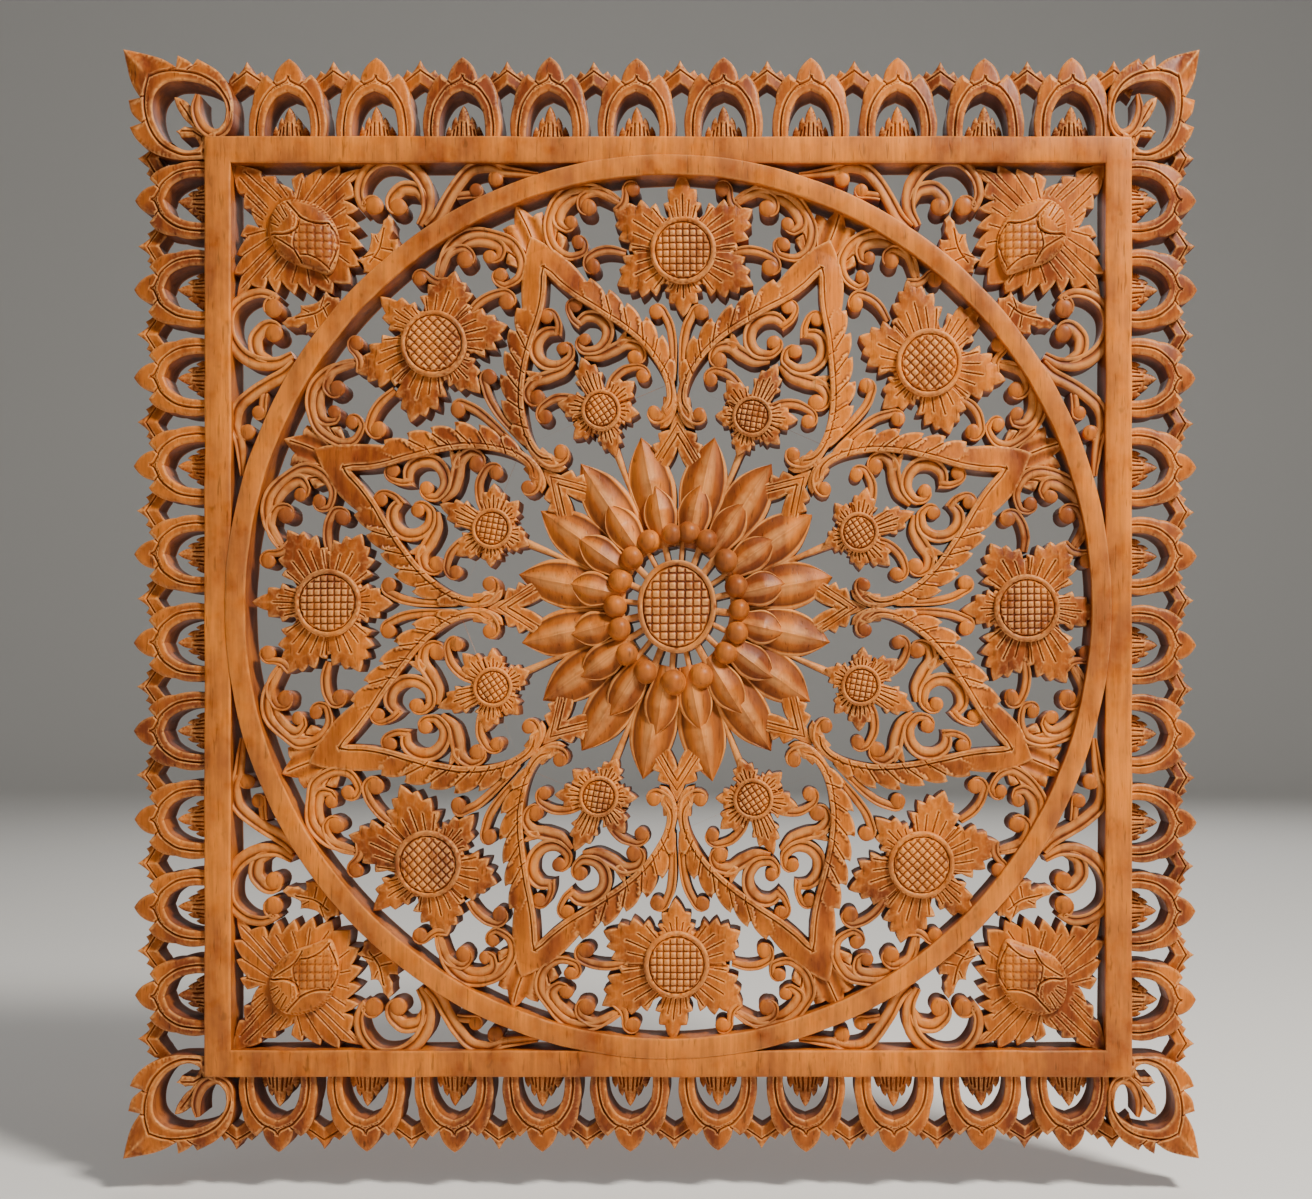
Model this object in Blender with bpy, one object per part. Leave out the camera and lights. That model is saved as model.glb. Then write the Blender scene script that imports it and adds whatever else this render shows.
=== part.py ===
# Carved wall panel: one square of openwork cut from a single glued-up board.
# Lengths are millimetres here and metres in the finished solid.
# The front looks along -Y, up is +Z, and the back lies flat at Y = 0.
import math

import bmesh
import bpy
from mathutils import Vector
from mathutils.geometry import delaunay_2d_cdt, tessellate_polygon

MM = 0.001

# The square frame and the ring inside it
FRAME_WIDTH = 844.0
FRAME_HEIGHT = 856.0
BAR = 24.0
RING_BAND = 18.5
RING_SIDES = 34
# how far the ring runs into the side bars and into the top and bottom bars
SIDE_LAP = 5.5
TOP_LAP = 7.5
RING_HALF_WIDTH = FRAME_WIDTH / 2 - BAR - RING_BAND + SIDE_LAP
RING_HALF_HEIGHT = FRAME_HEIGHT / 2 - BAR - RING_BAND + TOP_LAP

# The ornament inside the frame is drawn for a round ring, 432 steps in radius
DRAWN_RING = 432.0
STEP_ACROSS = RING_HALF_WIDTH / DRAWN_RING
STEP_UP = RING_HALF_HEIGHT / DRAWN_RING
SHIFT_RIGHT = 8.0
SECTORS = 8

# The fringe: ten arches a side, drawn 80.5 steps deep and 88.5 steps apart
ARCHES = 10
DRAWN_DEPTH = 80.5
DRAWN_PITCH = 88.5
# each side: quarter turns from the top, inset of the first and last arch, depth
SIDES = (
    (0, 74.0, 53.0, 76.5),
    (1, 56.0, 68.0, 62.0),
    (2, 55.0, 65.0, 71.5),
    (3, 72.0, 56.0, 68.5),
)
# how far the four corner leaves reach past the frame, drawn 74 steps each way
CORNER_DRAWN = 74.0
REACH_LEFT = 76.0
REACH_RIGHT = 63.0
REACH_TOP = 81.0
REACH_BOTTOM = 76.0

# Front levels, measured from the back
FRAME_LEVEL = 40.0
ARCH_RIM = 34.5
ARCH_TIP = 28.0
TREFOIL = 22.0
SPRIG = 24.0
CORNER_RIM = 36.0
CORNER_TIP = 31.0
BAND_RIB = 36.0
BAND_EDGE = 31.0
SCROLL = 31.0
FLOWER_LEVEL = 33.0
BIG_DISC = 38.0
SMALL_DISC = 36.5
BUD_TOP = 42.0

# The middle flower: ovals are half width and half height in drawn steps, and
# levels are from the back
PETALS = 16
OUTER_TIP = (166.0, 173.7)
OUTER_EDGE = 31.0
OUTER_KEEL = 34.0
INNER_TIP = (112.0, 122.0)
INNER_EDGE = 35.0
INNER_KEEL = 40.0
BEADS = 17
BEAD_RING = (63.4, 72.6)
BEAD_RADIUS = 11.3
BEAD_SIDES = 5
BEAD_TOP = 46.0
COLLAR_INNER = 0.82
COLLAR_OUTER = 1.2
COLLAR_LEVEL = 35.0
HUB = (40.4, 46.0)
HUB_SIDES = 17
HUB_LEVEL = 44.0
SPOKE_HALF = 3.1
SPOKE_LEVEL = 32.0

# Where two raised parts would only touch, wood is left this far round the spot
BRIDGE = 2.5

# Outlines closer than this are drawn as one line
MERGE = 0.3
STRAIGHT = 0.12
SAME_LEVEL = 0.02
SQUARE = 20.0


def flat(shapes, points, level):
    """Adds a flat-topped shape; its outline may run either way round."""
    shapes.append([(x, z, level) for x, z in anticlockwise(points)])


def faceted(shapes, points):
    """Adds a shape whose points carry their own levels, as flat triangles."""
    loop = [Vector((x, z, 0.0)) for x, z, h in points]
    for face in tessellate_polygon([loop]):
        triangle(shapes, [points[i] for i in face])


def triangle(shapes, corners):
    """Adds one sloping triangle."""
    if area(corners) < 0.0:
        corners = corners[::-1]
    shapes.append(list(corners))


def area(points):
    """Twice the signed area of an outline, positive when anticlockwise."""
    total = 0.0
    for here, there in zip(points, points[1:] + points[:1]):
        total += here[0] * there[1] - there[0] * here[1]
    return total


def anticlockwise(points):
    """The same outline, turned round if it runs clockwise."""
    return points[::-1] if area(points) < 0.0 else points


def crowned(shapes, points, level, middle, crown):
    """A shape that rises from its outline to one point."""
    for here, there in zip(points, points[1:] + points[:1]):
        triangle(shapes, [here + (level,), there + (level,), middle + (crown,)])


def circle(centre, radii, sides, start):
    """The corners of a regular outline, start being a part of one side."""
    points = []
    for i in range(sides):
        turn = math.tau * (i + start) / sides
        across = centre[0] + radii[0] * math.sin(turn)
        points.append((across, centre[1] + radii[1] * math.cos(turn)))
    return points


def ring_place(turn, mirror=1.0):
    """Gives the function from a drawn sector, across and out, to the panel."""
    sine = math.sin(math.radians(turn))
    cosine = math.cos(math.radians(turn))

    def place(point):
        x = mirror * point[0] * cosine + point[1] * sine
        z = point[1] * cosine - mirror * point[0] * sine
        return SHIFT_RIGHT + x * STEP_ACROSS, z * STEP_UP

    return place


def hook(centre, radius, start, sweep, stem, bulb, steps):
    """A curled stem: an arc that narrows and ends in a rounded bulb."""
    outer = []
    inner = []
    for i in range(steps + 1):
        part = i / steps
        turn = math.radians(start + sweep * part)
        reach = radius * (1.0 - 0.12 * part)
        outer.append((centre[0] + reach * math.cos(turn), centre[1] + reach * math.sin(turn)))
        reach -= stem * (1.0 - 0.25 * part)
        inner.append((centre[0] + reach * math.cos(turn), centre[1] + reach * math.sin(turn)))
    way = math.copysign(1.0, sweep)
    along = (-math.sin(turn) * way, math.cos(turn) * way)
    inward = (-math.cos(turn), -math.sin(turn))
    tip = []
    for forward, deep in ((1.0, 0.6), (0.5, 2.0)):
        x = outer[-1][0] + along[0] * bulb * forward + inward[0] * bulb * deep
        y = outer[-1][1] + along[1] * bulb * forward + inward[1] * bulb * deep
        tip.append((x, y))
    return outer + tip + inner[-2::-1]


def mirrored(half):
    """A whole outline from its right half, listed from one end to the other."""
    return half + [(-point[0],) + tuple(point[1:]) for point in half[::-1] if point[0]]


def frame_and_ring(shapes):
    """The square frame, and the slightly oval ring that meets it four times."""
    half_w = FRAME_WIDTH / 2
    half_h = FRAME_HEIGHT / 2
    for side in (-1, 1):
        x = side * half_w
        z = side * half_h
        inner_x = side * (half_w - BAR)
        inner_z = side * (half_h - BAR)
        flat(shapes, [(x, -half_h), (x, half_h), (inner_x, half_h), (inner_x, -half_h)], FRAME_LEVEL)
        flat(shapes, [(-half_w, z), (half_w, z), (half_w, inner_z), (-half_w, inner_z)], FRAME_LEVEL)
    inner = circle((0.0, 0.0), (RING_HALF_WIDTH, RING_HALF_HEIGHT), RING_SIDES, 0.5)
    grown = (RING_HALF_WIDTH + RING_BAND, RING_HALF_HEIGHT + RING_BAND)
    outer = circle((0.0, 0.0), grown, RING_SIDES, 0.5)
    for i in range(RING_SIDES):
        flat(shapes, [inner[i - 1], inner[i], outer[i], outer[i - 1]], FRAME_LEVEL)


def fringe(shapes):
    """Arches along each side, a sprig inside each and a trefoil between them."""
    arch = mirrored([(38, -8), (36, 40), (0, 80.5)])
    opening = mirrored([(22, -8), (20, 28), (0, 46)])
    sprig = mirrored([(21, -8), (0, 31)])
    trefoil = mirrored([(18, 46), (20, 66), (0, 79)])
    for quarter, first, last, depth in SIDES:
        upright = quarter % 2 == 0
        along = FRAME_WIDTH if upright else FRAME_HEIGHT
        away = (FRAME_HEIGHT if upright else FRAME_WIDTH) / 2
        pitch = (along - first - last) / (ARCHES - 1)
        for i in range(ARCHES):
            middle = -along / 2 + first + pitch * i
            place = side_place(quarter, away, middle, pitch / DRAWN_PITCH, depth / DRAWN_DEPTH)
            outline = [place(p) + (ARCH_TIP,) for p in arch]
            outline += [place(p) + (ARCH_RIM,) for p in opening[::-1]]
            faceted(shapes, outline)
            flat(shapes, [place(p) for p in sprig], SPRIG)
            middle += pitch / 2
            place = side_place(quarter, away, middle, pitch / DRAWN_PITCH, depth / DRAWN_DEPTH)
            flat(shapes, [place(p) for p in trefoil], TREFOIL)
        middle = first - along / 2 - pitch / 2
        place = side_place(quarter, away, middle, pitch / DRAWN_PITCH, depth / DRAWN_DEPTH)
        flat(shapes, [place(p) for p in trefoil], TREFOIL)


def side_place(quarter, away, middle, across_step, out_step):
    """Gives the function from a drawn arch to its place beside the frame."""
    turn = math.radians(90.0 * quarter)
    sine = math.sin(turn)
    cosine = math.cos(turn)

    def place(point):
        u = middle + point[0] * across_step
        v = away + point[1] * out_step
        return u * cosine + v * sine, v * cosine - u * sine

    return place


def leaf_band(shapes, turn):
    """A pointed loop of toothed leaf, highest along the rib on its inner edge."""
    rib = [(0, 348), (33, 309), (60, 266), (72, 222), (62, 187)]
    reach = [39, 23, 21, 13, 10]
    place = ring_place(turn)
    last = len(rib) - 1
    inner = []
    outer = []
    for i, (x, y) in enumerate(rib):
        before = rib[i - 1] if i else (-rib[1][0], rib[1][1])
        after = rib[min(i + 1, last)]
        run = math.hypot(after[0] - before[0], after[1] - before[1])
        side = ((before[1] - after[1]) / run, (after[0] - before[0]) / run)
        inner.append((x, y))
        outer.append((x + side[0] * reach[i], y + side[1] * reach[i]))
    for side in (-1, 1):
        for i in range(last):
            near = [place((x * side, y)) + (BAND_RIB,) for x, y in inner[i:i + 2]]
            far = [place((x * side, y)) + (BAND_EDGE,) for x, y in outer[i:i + 2]]
            triangle(shapes, [near[0], near[1], far[0]])
            triangle(shapes, [near[1], far[1], far[0]])
            if i < last - 1:
                x, y = tooth_tip(outer[i], outer[i + 1])
                triangle(shapes, [far[0], far[1], place((x * side, y)) + (BAND_EDGE,)])


def tooth_tip(start, end):
    """The tip of a leaf tooth on the edge from start to end, leaning to the start."""
    run = math.hypot(end[0] - start[0], end[1] - start[1])
    x = 0.7 * start[0] + 0.3 * end[0] + 9.0 * (start[1] - end[1]) / run
    y = 0.7 * start[1] + 0.3 * end[1] + 9.0 * (end[0] - start[0]) / run
    return x, y


def inside_band(shapes, turn):
    """A small flower on a stem, two facing scrolls and two hooks at its sides."""
    for mirror in (-1.0, 1.0):
        place = ring_place(turn, mirror)
        pair = (
            hook((26, 271), 32, 140, -270, 12, 8, 4),
            [(14, 210), (36, 232), (80, 228), (48, 206)],
        )
        for outline in pair:
            flat(shapes, [place(p) for p in outline], SCROLL)
    petals = ((90, 56, 13), (36, 42, 13), (-18, 38, 12), (-90, 36, 12), (-162, 38, 12), (144, 42, 13))
    blossom(shapes, turn, 197, 20, 6, SMALL_DISC, petals, ((0.5, 0.85), (1.0, 0.0)))
    place = ring_place(turn)
    flat(shapes, [place(p) for p in mirrored([(3, 104), (3, 292)])], SCROLL)


def between_bands(shapes, turn):
    """The large flower between two leaf bands and the scrolls beside it."""
    for mirror in (-1.0, 1.0):
        place = ring_place(turn, mirror)
        pair = (
            hook((104, 388), 38, 150, -250, 14, 9, 4),
            [(117, 370), (143, 374), (147, 340), (121, 330)],
            [(64, 350), (94, 361), (105, 340), (86, 316)],
        )
        for outline in pair:
            flat(shapes, [place(p) for p in outline], SCROLL)
    petals = ((90, 80, 20), (32, 82, 21), (-18, 76, 20), (-90, 66, 20), (-162, 76, 20), (148, 82, 21))
    blossom(shapes, turn, 357, 33, 8, BIG_DISC, petals, ((0.5, 0.9), (0.9, 0.65), (0.9, -0.65)))
    place = ring_place(turn)
    flat(shapes, [place(p) for p in mirrored([(6, 176), (7, 246), (20, 296)])], SCROLL)
    chevron = mirrored([(0, 158), (26, 116), (42, 122), (14, 186)])
    flat(shapes, [place(p) for p in chevron], OUTER_EDGE)


def fan_leaf(shapes, turn):
    """The many-pointed leaf that joins the tip of a leaf band to the ring."""
    place = ring_place(turn)
    half = [(0, 372), (27, 392), (6, 437)]
    flat(shapes, [place(p) for p in mirrored(half)], SCROLL)


def blossom(shapes, turn, out, disc, sides, crown, petals, lobes):
    """Petals round a raised disc; each has an angle, a reach and a half width."""
    place = ring_place(turn)
    drawn = []
    for angle, reach, half_width in petals:
        for part, side in lobes:
            swing = math.radians(angle) + math.atan2(side * half_width, reach * part)
            length = math.hypot(side * half_width, reach * part)
            drawn.append((length * math.cos(swing), out + length * math.sin(swing)))
    flat(shapes, [place(p) for p in drawn], FLOWER_LEVEL)
    centre = place((0, out))
    flat(shapes, circle(centre, (disc * STEP_ACROSS, disc * STEP_UP), sides, 0.5), crown)


def round_spot(scale, turn, size):
    """A spot at an angle from the top on an oval round the panel's middle."""
    x = SHIFT_RIGHT + size[0] * STEP_ACROSS * scale * math.sin(turn)
    return x, size[1] * STEP_UP * scale * math.cos(turn)


def middle_flower(shapes):
    """Two rounds of keeled petals, a collar of beads, spokes and a round hub."""
    spread = math.pi / PETALS
    rim = []
    for i in range(PETALS):
        turn = math.tau * (i + 0.5) / PETALS
        roots = [round_spot(COLLAR_OUTER, turn + way * spread, BEAD_RING) for way in (-1, 1)]
        rim.append(roots[0])
        ridge = round_spot(1.0, turn, INNER_TIP)
        for way, root in zip((-1, 1), roots):
            waist = round_spot(0.72, turn + way * spread, OUTER_TIP)
            point = round_spot(1.0, turn, OUTER_TIP)
            path = (root, waist, point)
            keeled(shapes, path, OUTER_EDGE, ridge, OUTER_KEEL)
            waist = round_spot(0.78, turn + way * spread, INNER_TIP)
            keeled(shapes, (root, waist, ridge), INNER_EDGE, round_spot(0.78, turn, INNER_TIP), INNER_KEEL)
        middle = round_spot(0.78, turn, INNER_TIP) + (INNER_KEEL,)
        triangle(shapes, [root + (INNER_EDGE,), roots[0] + (INNER_EDGE,), middle])
    bore = [round_spot(COLLAR_INNER, math.tau * i / BEADS, BEAD_RING) for i in range(BEADS)]
    shapes.append([p + (COLLAR_LEVEL,) for p in rim[::-1] + rim[-1:] + bore[-1:] + bore])
    for i in range(BEADS):
        turn = math.tau * (i + 0.5) / BEADS
        centre = round_spot(1.0, turn, BEAD_RING)
        bead = circle(centre, (BEAD_RADIUS * STEP_ACROSS, BEAD_RADIUS * STEP_UP), BEAD_SIDES, 0.25)
        crowned(shapes, bead, COLLAR_LEVEL, centre, BEAD_TOP)
        side = (SPOKE_HALF * STEP_ACROSS * math.cos(turn), -SPOKE_HALF * STEP_UP * math.sin(turn))
        points = []
        for out, way in ((0.5, 1.0), (0.5, -1.0), (0.9, -1.0), (0.9, 1.0)):
            x, z = round_spot(out, turn, BEAD_RING)
            points.append((x + side[0] * way, z + side[1] * way))
        flat(shapes, points, SPOKE_LEVEL)
    hub = circle((SHIFT_RIGHT, 0.0), (HUB[0] * STEP_ACROSS, HUB[1] * STEP_UP), HUB_SIDES, 0.5)
    flat(shapes, hub, HUB_LEVEL)


def keeled(shapes, path, edge, ridge, keel):
    """One half of a petal: triangles from its edge up to its ridge."""
    for here, there in zip(path, path[1:]):
        triangle(shapes, [here + (edge,), there + (edge,), ridge + (keel,)])


def corner_leaf(shapes, right, up):
    """A big toothed leaf curled round an opening at one outer corner."""
    reach_x = (REACH_RIGHT if right > 0 else REACH_LEFT) / CORNER_DRAWN
    reach_z = (REACH_TOP if up > 0 else REACH_BOTTOM) / CORNER_DRAWN

    def place(point):
        x = right * (FRAME_WIDTH / 2 + point[0] * reach_x)
        return x, up * (FRAME_HEIGHT / 2 + point[1] * reach_z)

    rim = [(-14, -8), (-11, 22), (14, 46), (40, 40)]
    edge = [(-24, -8), (-19, 30), (14, 62), (74, 74)]
    spikes = [None, ((-2, 46.5), (5, 76), (14, 62)), None]
    for swap in (False, True):
        near = [place(p[::-1] if swap else p) + (CORNER_RIM,) for p in rim]
        far = [place(p[::-1] if swap else p) + (CORNER_TIP,) for p in edge]
        for i in range(len(rim) - 1):
            triangle(shapes, [near[i], near[i + 1], far[i]])
            triangle(shapes, [near[i + 1], far[i + 1], far[i]])
            if spikes[i]:
                points = [place(p[::-1] if swap else p) + (CORNER_TIP,) for p in spikes[i]]
                triangle(shapes, points)
        curl = [(-6, -8), (8, 8), (4, 30), (-6, 26), (-2, 12)]
        flat(shapes, [place(p[::-1] if swap else p) for p in curl], SCROLL)
    leaf = [(4, 4), (16, 10), (28, 28), (10, 16)]
    flat(shapes, [place(p) for p in leaf], SCROLL)


def spandrel(shapes, right, up):
    """A bud on its leaves, with scrolls on both sides, in one frame corner."""

    def place(point):
        # drawn across and inwards from the inner corner along the diagonal
        x = FRAME_WIDTH / 2 - BAR + (point[0] - point[1]) * math.sqrt(0.5) * STEP_ACROSS
        z = FRAME_HEIGHT / 2 - BAR - (point[0] + point[1]) * math.sqrt(0.5) * STEP_UP
        return right * x, up * z

    half = [(0, -4), (18, 26), (30, 50), (90, 98), (42, 106), (36, 136), (0, 166)]
    flat(shapes, [place(p) for p in mirrored(half)], SCROLL)
    bud = mirrored([(0, 54), (24, 66), (28, 96), (0, 138)])
    crowned(shapes, [place(p) for p in bud], SCROLL, place((0, 90)), BUD_TOP)
    for side in (-1, 1):
        wing = (
            hook((93, 136), 38, 80, -250, 14, 9, 4),
            [(20, 146), (50, 128), (64, 146), (46, 176)],
            [(100, 184), (140, 164), (204, 216), (176, 220)],
        )
        for outline in wing:
            flat(shapes, [place((x * side, y)) for x, y in outline], SCROLL)


def solid_from(shapes):
    """Joins parts that only touch, and turns the outlines into one closed mesh."""
    spots, cells, covers_of = laid_out(shapes)
    touching = touches(spots, cells, covers_of, shapes)
    while touching:
        for x, z, level in touching:
            flat(shapes, [(x - BRIDGE, z), (x, z - BRIDGE), (x + BRIDGE, z), (x, z + BRIDGE)], level)
        spots, cells, covers_of = laid_out(shapes)
        touching = touches(spots, cells, covers_of, shapes)
    planes = [plane_of(shape) for shape in shapes]
    owners = {}
    for cell, best in zip(cells, covers_of):
        for k in range(3):
            owners[(cell[k], cell[(k + 1) % 3])] = best
    lines = outline_edges(owners, planes)
    straighten(spots, lines, planes)
    split_crossings(spots, lines, planes)
    names = sorted({i for line in lines for i in line})
    number = {name: k for k, name in enumerate(names)}
    ends = [(number[i], number[j]) for i, j in lines if i < j]
    drawn = delaunay_2d_cdt([spots[i] for i in names], ends, [], 0, 1e-4)
    spots, cells, source = drawn[0], drawn[2], drawn[3]
    back_to = [names[group[0]] for group in source]
    kept = []
    tops = []
    for cell, best in flooded(cells, back_to, lines):
        a, b, c = planes[best]
        lowest = min(corner[2] for corner in shapes[best])
        highest = max(corner[2] for corner in shapes[best])
        levels = [a + b * spots[i].x + c * spots[i].y for i in cell]
        kept.append(cell)
        tops.append([min(max(h, lowest), highest) for h in levels])
    return block_of(spots, kept, tops)


def laid_out(shapes):
    """Lays every outline over the others and finds the highest at each spot."""
    points = []
    sides = []
    for shape in shapes:
        start = len(points)
        points += [Vector((x, z)) for x, z, h in shape]
        count = len(shape)
        sides += [(start + k, start + (k + 1) % count) for k in range(count)]
    drawn = delaunay_2d_cdt(points, sides, [], 0, MERGE)
    spots, cells = drawn[0], drawn[2]
    planes = [plane_of(shape) for shape in shapes]
    squares = squares_of(shapes)
    highest = []
    for cell in cells:
        x = sum(spots[i].x for i in cell) / 3.0
        z = sum(spots[i].y for i in cell) / 3.0
        best = None
        height = 0.0
        for k in squares.get((int(x // SQUARE), int(z // SQUARE)), ()):
            level = planes[k][0] + planes[k][1] * x + planes[k][2] * z
            if level > height and covers(shapes[k], x, z):
                best = k
                height = level
        highest.append(best)
    return spots, cells, highest


def touches(spots, cells, covers_of, shapes):
    """Spots where two raised parts meet at one point, with the lower one's level."""
    planes = [plane_of(shape) for shape in shapes]
    after = {}
    level = {}
    first = {}
    for cell, best in zip(cells, covers_of):
        for k in range(3):
            i, j = cell[k], cell[(k + 1) % 3]
            after[(i, j)] = cell[(k + 2) % 3]
            level[(i, j)] = level_at(best, spots[i], planes)
            first.setdefault(i, j)
    found = []
    for i, start in first.items():
        round_it = [level[(i, start)]]
        j = after[(i, start)]
        while j != start and (i, j) in after:
            round_it.append(level[(i, j)])
            j = after[(i, j)]
        if j != start:
            continue
        lowest = round_it.index(min(round_it))
        round_it = round_it[lowest:] + round_it[:lowest]
        for low in sorted(set(round_it)):
            tops = []
            was_high = False
            for height in round_it:
                is_high = height > low + SAME_LEVEL
                if is_high and was_high:
                    tops[-1] = max(tops[-1], height)
                elif is_high:
                    tops.append(height)
                was_high = is_high
            if len(tops) > 1:
                found.append((spots[i].x, spots[i].y, min(tops)))
                break
    return found


def squares_of(shapes):
    """For each square of a coarse grid, the shapes that may reach into it."""
    squares = {}
    for k, shape in enumerate(shapes):
        columns = [int(p[0] // SQUARE) for p in shape]
        rows = [int(p[1] // SQUARE) for p in shape]
        for column in range(min(columns), max(columns) + 1):
            for row in range(min(rows), max(rows) + 1):
                squares.setdefault((column, row), []).append(k)
    return squares


def covers(shape, x, z):
    """True where a spot lies inside a shape's outline."""
    inside = False
    for here, there in zip(shape, shape[1:] + shape[:1]):
        if (here[1] > z) != (there[1] > z):
            part = (z - here[1]) / (there[1] - here[1])
            if x < here[0] + part * (there[0] - here[0]):
                inside = not inside
    return inside


def outline_edges(owners, planes):
    """The edges where the level steps or creases, with the shape on their left."""
    lines = {}
    for (i, j), left in owners.items():
        right = owners.get((j, i))
        if not same_plane(left, right, planes):
            lines[(i, j)] = left
            lines[(j, i)] = right
    return lines


def same_plane(left, right, planes):
    """True where two shapes lie in one plane, or both are open air."""
    if left is None or right is None:
        return left is right
    one = planes[left]
    other = planes[right]
    return one == other or all(abs(a - b) < 1e-4 for a, b in zip(one, other))


def straighten(spots, lines, planes):
    """Takes out the points that lie along a straight stretch of an outline."""
    near = {}
    for i, j in lines:
        near.setdefault(i, set()).add(j)
    for i in sorted(near):
        if len(near[i]) != 2:
            continue
        a, b = sorted(near[i])
        if b in near[a]:
            continue
        if not same_plane(lines[(a, i)], lines[(i, b)], planes):
            continue
        if not same_plane(lines[(i, a)], lines[(b, i)], planes):
            continue
        run = spots[b] - spots[a]
        off = spots[i] - spots[a]
        if abs(run.x * off.y - run.y * off.x) > STRAIGHT * run.length:
            continue
        lines[(a, b)] = lines.pop((a, i))
        lines[(b, a)] = lines.pop((b, i))
        del lines[(i, b)], lines[(i, a)]
        near[a].remove(i)
        near[b].remove(i)
        near[a].add(b)
        near[b].add(a)
        del near[i]


def level_at(shape, spot, planes):
    """How high a shape stands at a spot, or 0 where there is no shape."""
    if shape is None:
        return 0.0
    a, b, c = planes[shape]
    return a + b * spot.x + c * spot.y


def split_crossings(spots, lines, planes):
    """Adds a point where the slopes on both sides of an edge pass one level."""
    for i, j in [line for line in lines if line[0] < line[1]]:
        left = lines[(i, j)]
        right = lines[(j, i)]
        start = level_at(left, spots[i], planes) - level_at(right, spots[i], planes)
        end = level_at(left, spots[j], planes) - level_at(right, spots[j], planes)
        if start * end < 0.0 and min(abs(start), abs(end)) > SAME_LEVEL:
            middle = len(spots)
            spots.append(spots[i].lerp(spots[j], start / (start - end)))
            del lines[(i, j)], lines[(j, i)]
            lines[(i, middle)] = lines[(middle, j)] = left
            lines[(j, middle)] = lines[(middle, i)] = right


def flooded(cells, back_to, lines):
    """Each cell inside the outlines with the shape that covers it."""
    beside = {}
    for n, cell in enumerate(cells):
        for k in range(3):
            beside[(cell[k], cell[(k + 1) % 3])] = n
    cover = {}
    waiting = []
    for (i, j), n in beside.items():
        line = (back_to[i], back_to[j])
        if line in lines and n not in cover:
            cover[n] = lines[line]
            waiting.append(n)
    while waiting:
        n = waiting.pop()
        cell = cells[n]
        for k in range(3):
            i, j = cell[k], cell[(k + 1) % 3]
            other = beside.get((j, i))
            if other is None or other in cover or (back_to[i], back_to[j]) in lines:
                continue
            cover[other] = cover[n]
            waiting.append(other)
    return [(cells[n], cover[n]) for n in sorted(cover) if cover[n] is not None]


def plane_of(shape):
    """Level as a + b x + c z over one flat shape or sloping triangle."""
    x0, z0, h0 = shape[0]
    if len(shape) > 3 or shape[0][2] == shape[1][2] == shape[2][2]:
        return h0, 0.0, 0.0
    x1, z1, h1 = shape[1]
    x2, z2, h2 = shape[2]
    cross = (x1 - x0) * (z2 - z0) - (x2 - x0) * (z1 - z0)
    if abs(cross) < 1e-6:
        return max(h0, h1, h2), 0.0, 0.0
    b = ((h1 - h0) * (z2 - z0) - (h2 - h0) * (z1 - z0)) / cross
    c = ((x1 - x0) * (h2 - h0) - (x2 - x0) * (h1 - h0)) / cross
    return h0 - b * x0 - c * z0, b, c


def block_of(spots, cells, tops):
    """Builds tops, flat back and upright walls as one closed mesh."""
    steps = [[0.0] for _ in spots]
    for cell, levels in zip(cells, tops):
        for k, i in enumerate(cell):
            near = [h for h in steps[i] if abs(h - levels[k]) < SAME_LEVEL]
            if near:
                levels[k] = near[0]
            else:
                steps[i].append(levels[k])
    for found in steps:
        found.sort()
    mesh = bmesh.new()
    made = {}

    def corner(i, level):
        key = (i, level)
        if key not in made:
            made[key] = mesh.verts.new((spots[i].x * MM, -level * MM, spots[i].y * MM))
        return made[key]

    sides = {}
    for cell, levels in zip(cells, tops):
        mesh.faces.new([corner(i, h) for i, h in zip(cell, levels)])
        mesh.faces.new([corner(i, 0.0) for i in reversed(cell)])
        for k in range(3):
            i, j = cell[k], cell[(k + 1) % 3]
            sides[(i, j)] = (levels[k], levels[(k + 1) % 3])
    for (i, j), (high_i, high_j) in sides.items():
        low_j, low_i = sides.get((j, i), (0.0, 0.0))
        if high_i < low_i or high_j < low_j:
            continue
        if high_i == low_i and high_j == low_j:
            continue
        climb = [corner(i, h) for h in steps[i] if low_i <= h <= high_i]
        fall = [corner(j, h) for h in steps[j] if low_j <= h <= high_j]
        mesh.faces.new(climb[::-1] + fall)
    return mesh


def build():
    """Draws the whole panel and leaves it as one closed piece."""
    for old in list(bpy.data.objects):
        bpy.data.objects.remove(old)
    shapes = []
    frame_and_ring(shapes)
    fringe(shapes)
    for i in range(SECTORS):
        turn = 360.0 * (i + 0.5) / SECTORS
        leaf_band(shapes, turn)
        inside_band(shapes, turn)
        fan_leaf(shapes, turn)
        between_bands(shapes, 360.0 * i / SECTORS)
    middle_flower(shapes)
    for right in (-1, 1):
        for up in (-1, 1):
            corner_leaf(shapes, right, up)
            spandrel(shapes, right, up)
    mesh = solid_from(shapes)
    bmesh.ops.triangulate(mesh, faces=mesh.faces[:])
    data = bpy.data.meshes.new("carved_panel")
    mesh.to_mesh(data)
    mesh.free()
    panel = bpy.data.objects.new("carved_panel", data)
    bpy.context.scene.collection.objects.link(panel)
    wood = bpy.data.materials.new("carved_wood")
    wood.use_nodes = True
    shader = wood.node_tree.nodes["Principled BSDF"]
    shader.inputs["Base Color"].default_value = (0.48, 0.20, 0.07, 1.0)
    shader.inputs["Roughness"].default_value = 0.5
    shader.inputs["Metallic"].default_value = 0.0
    data.materials.append(wood)


build()
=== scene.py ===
import math

import bpy
import numpy as np
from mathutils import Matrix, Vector
from mathutils.geometry import delaunay_2d_cdt


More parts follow.
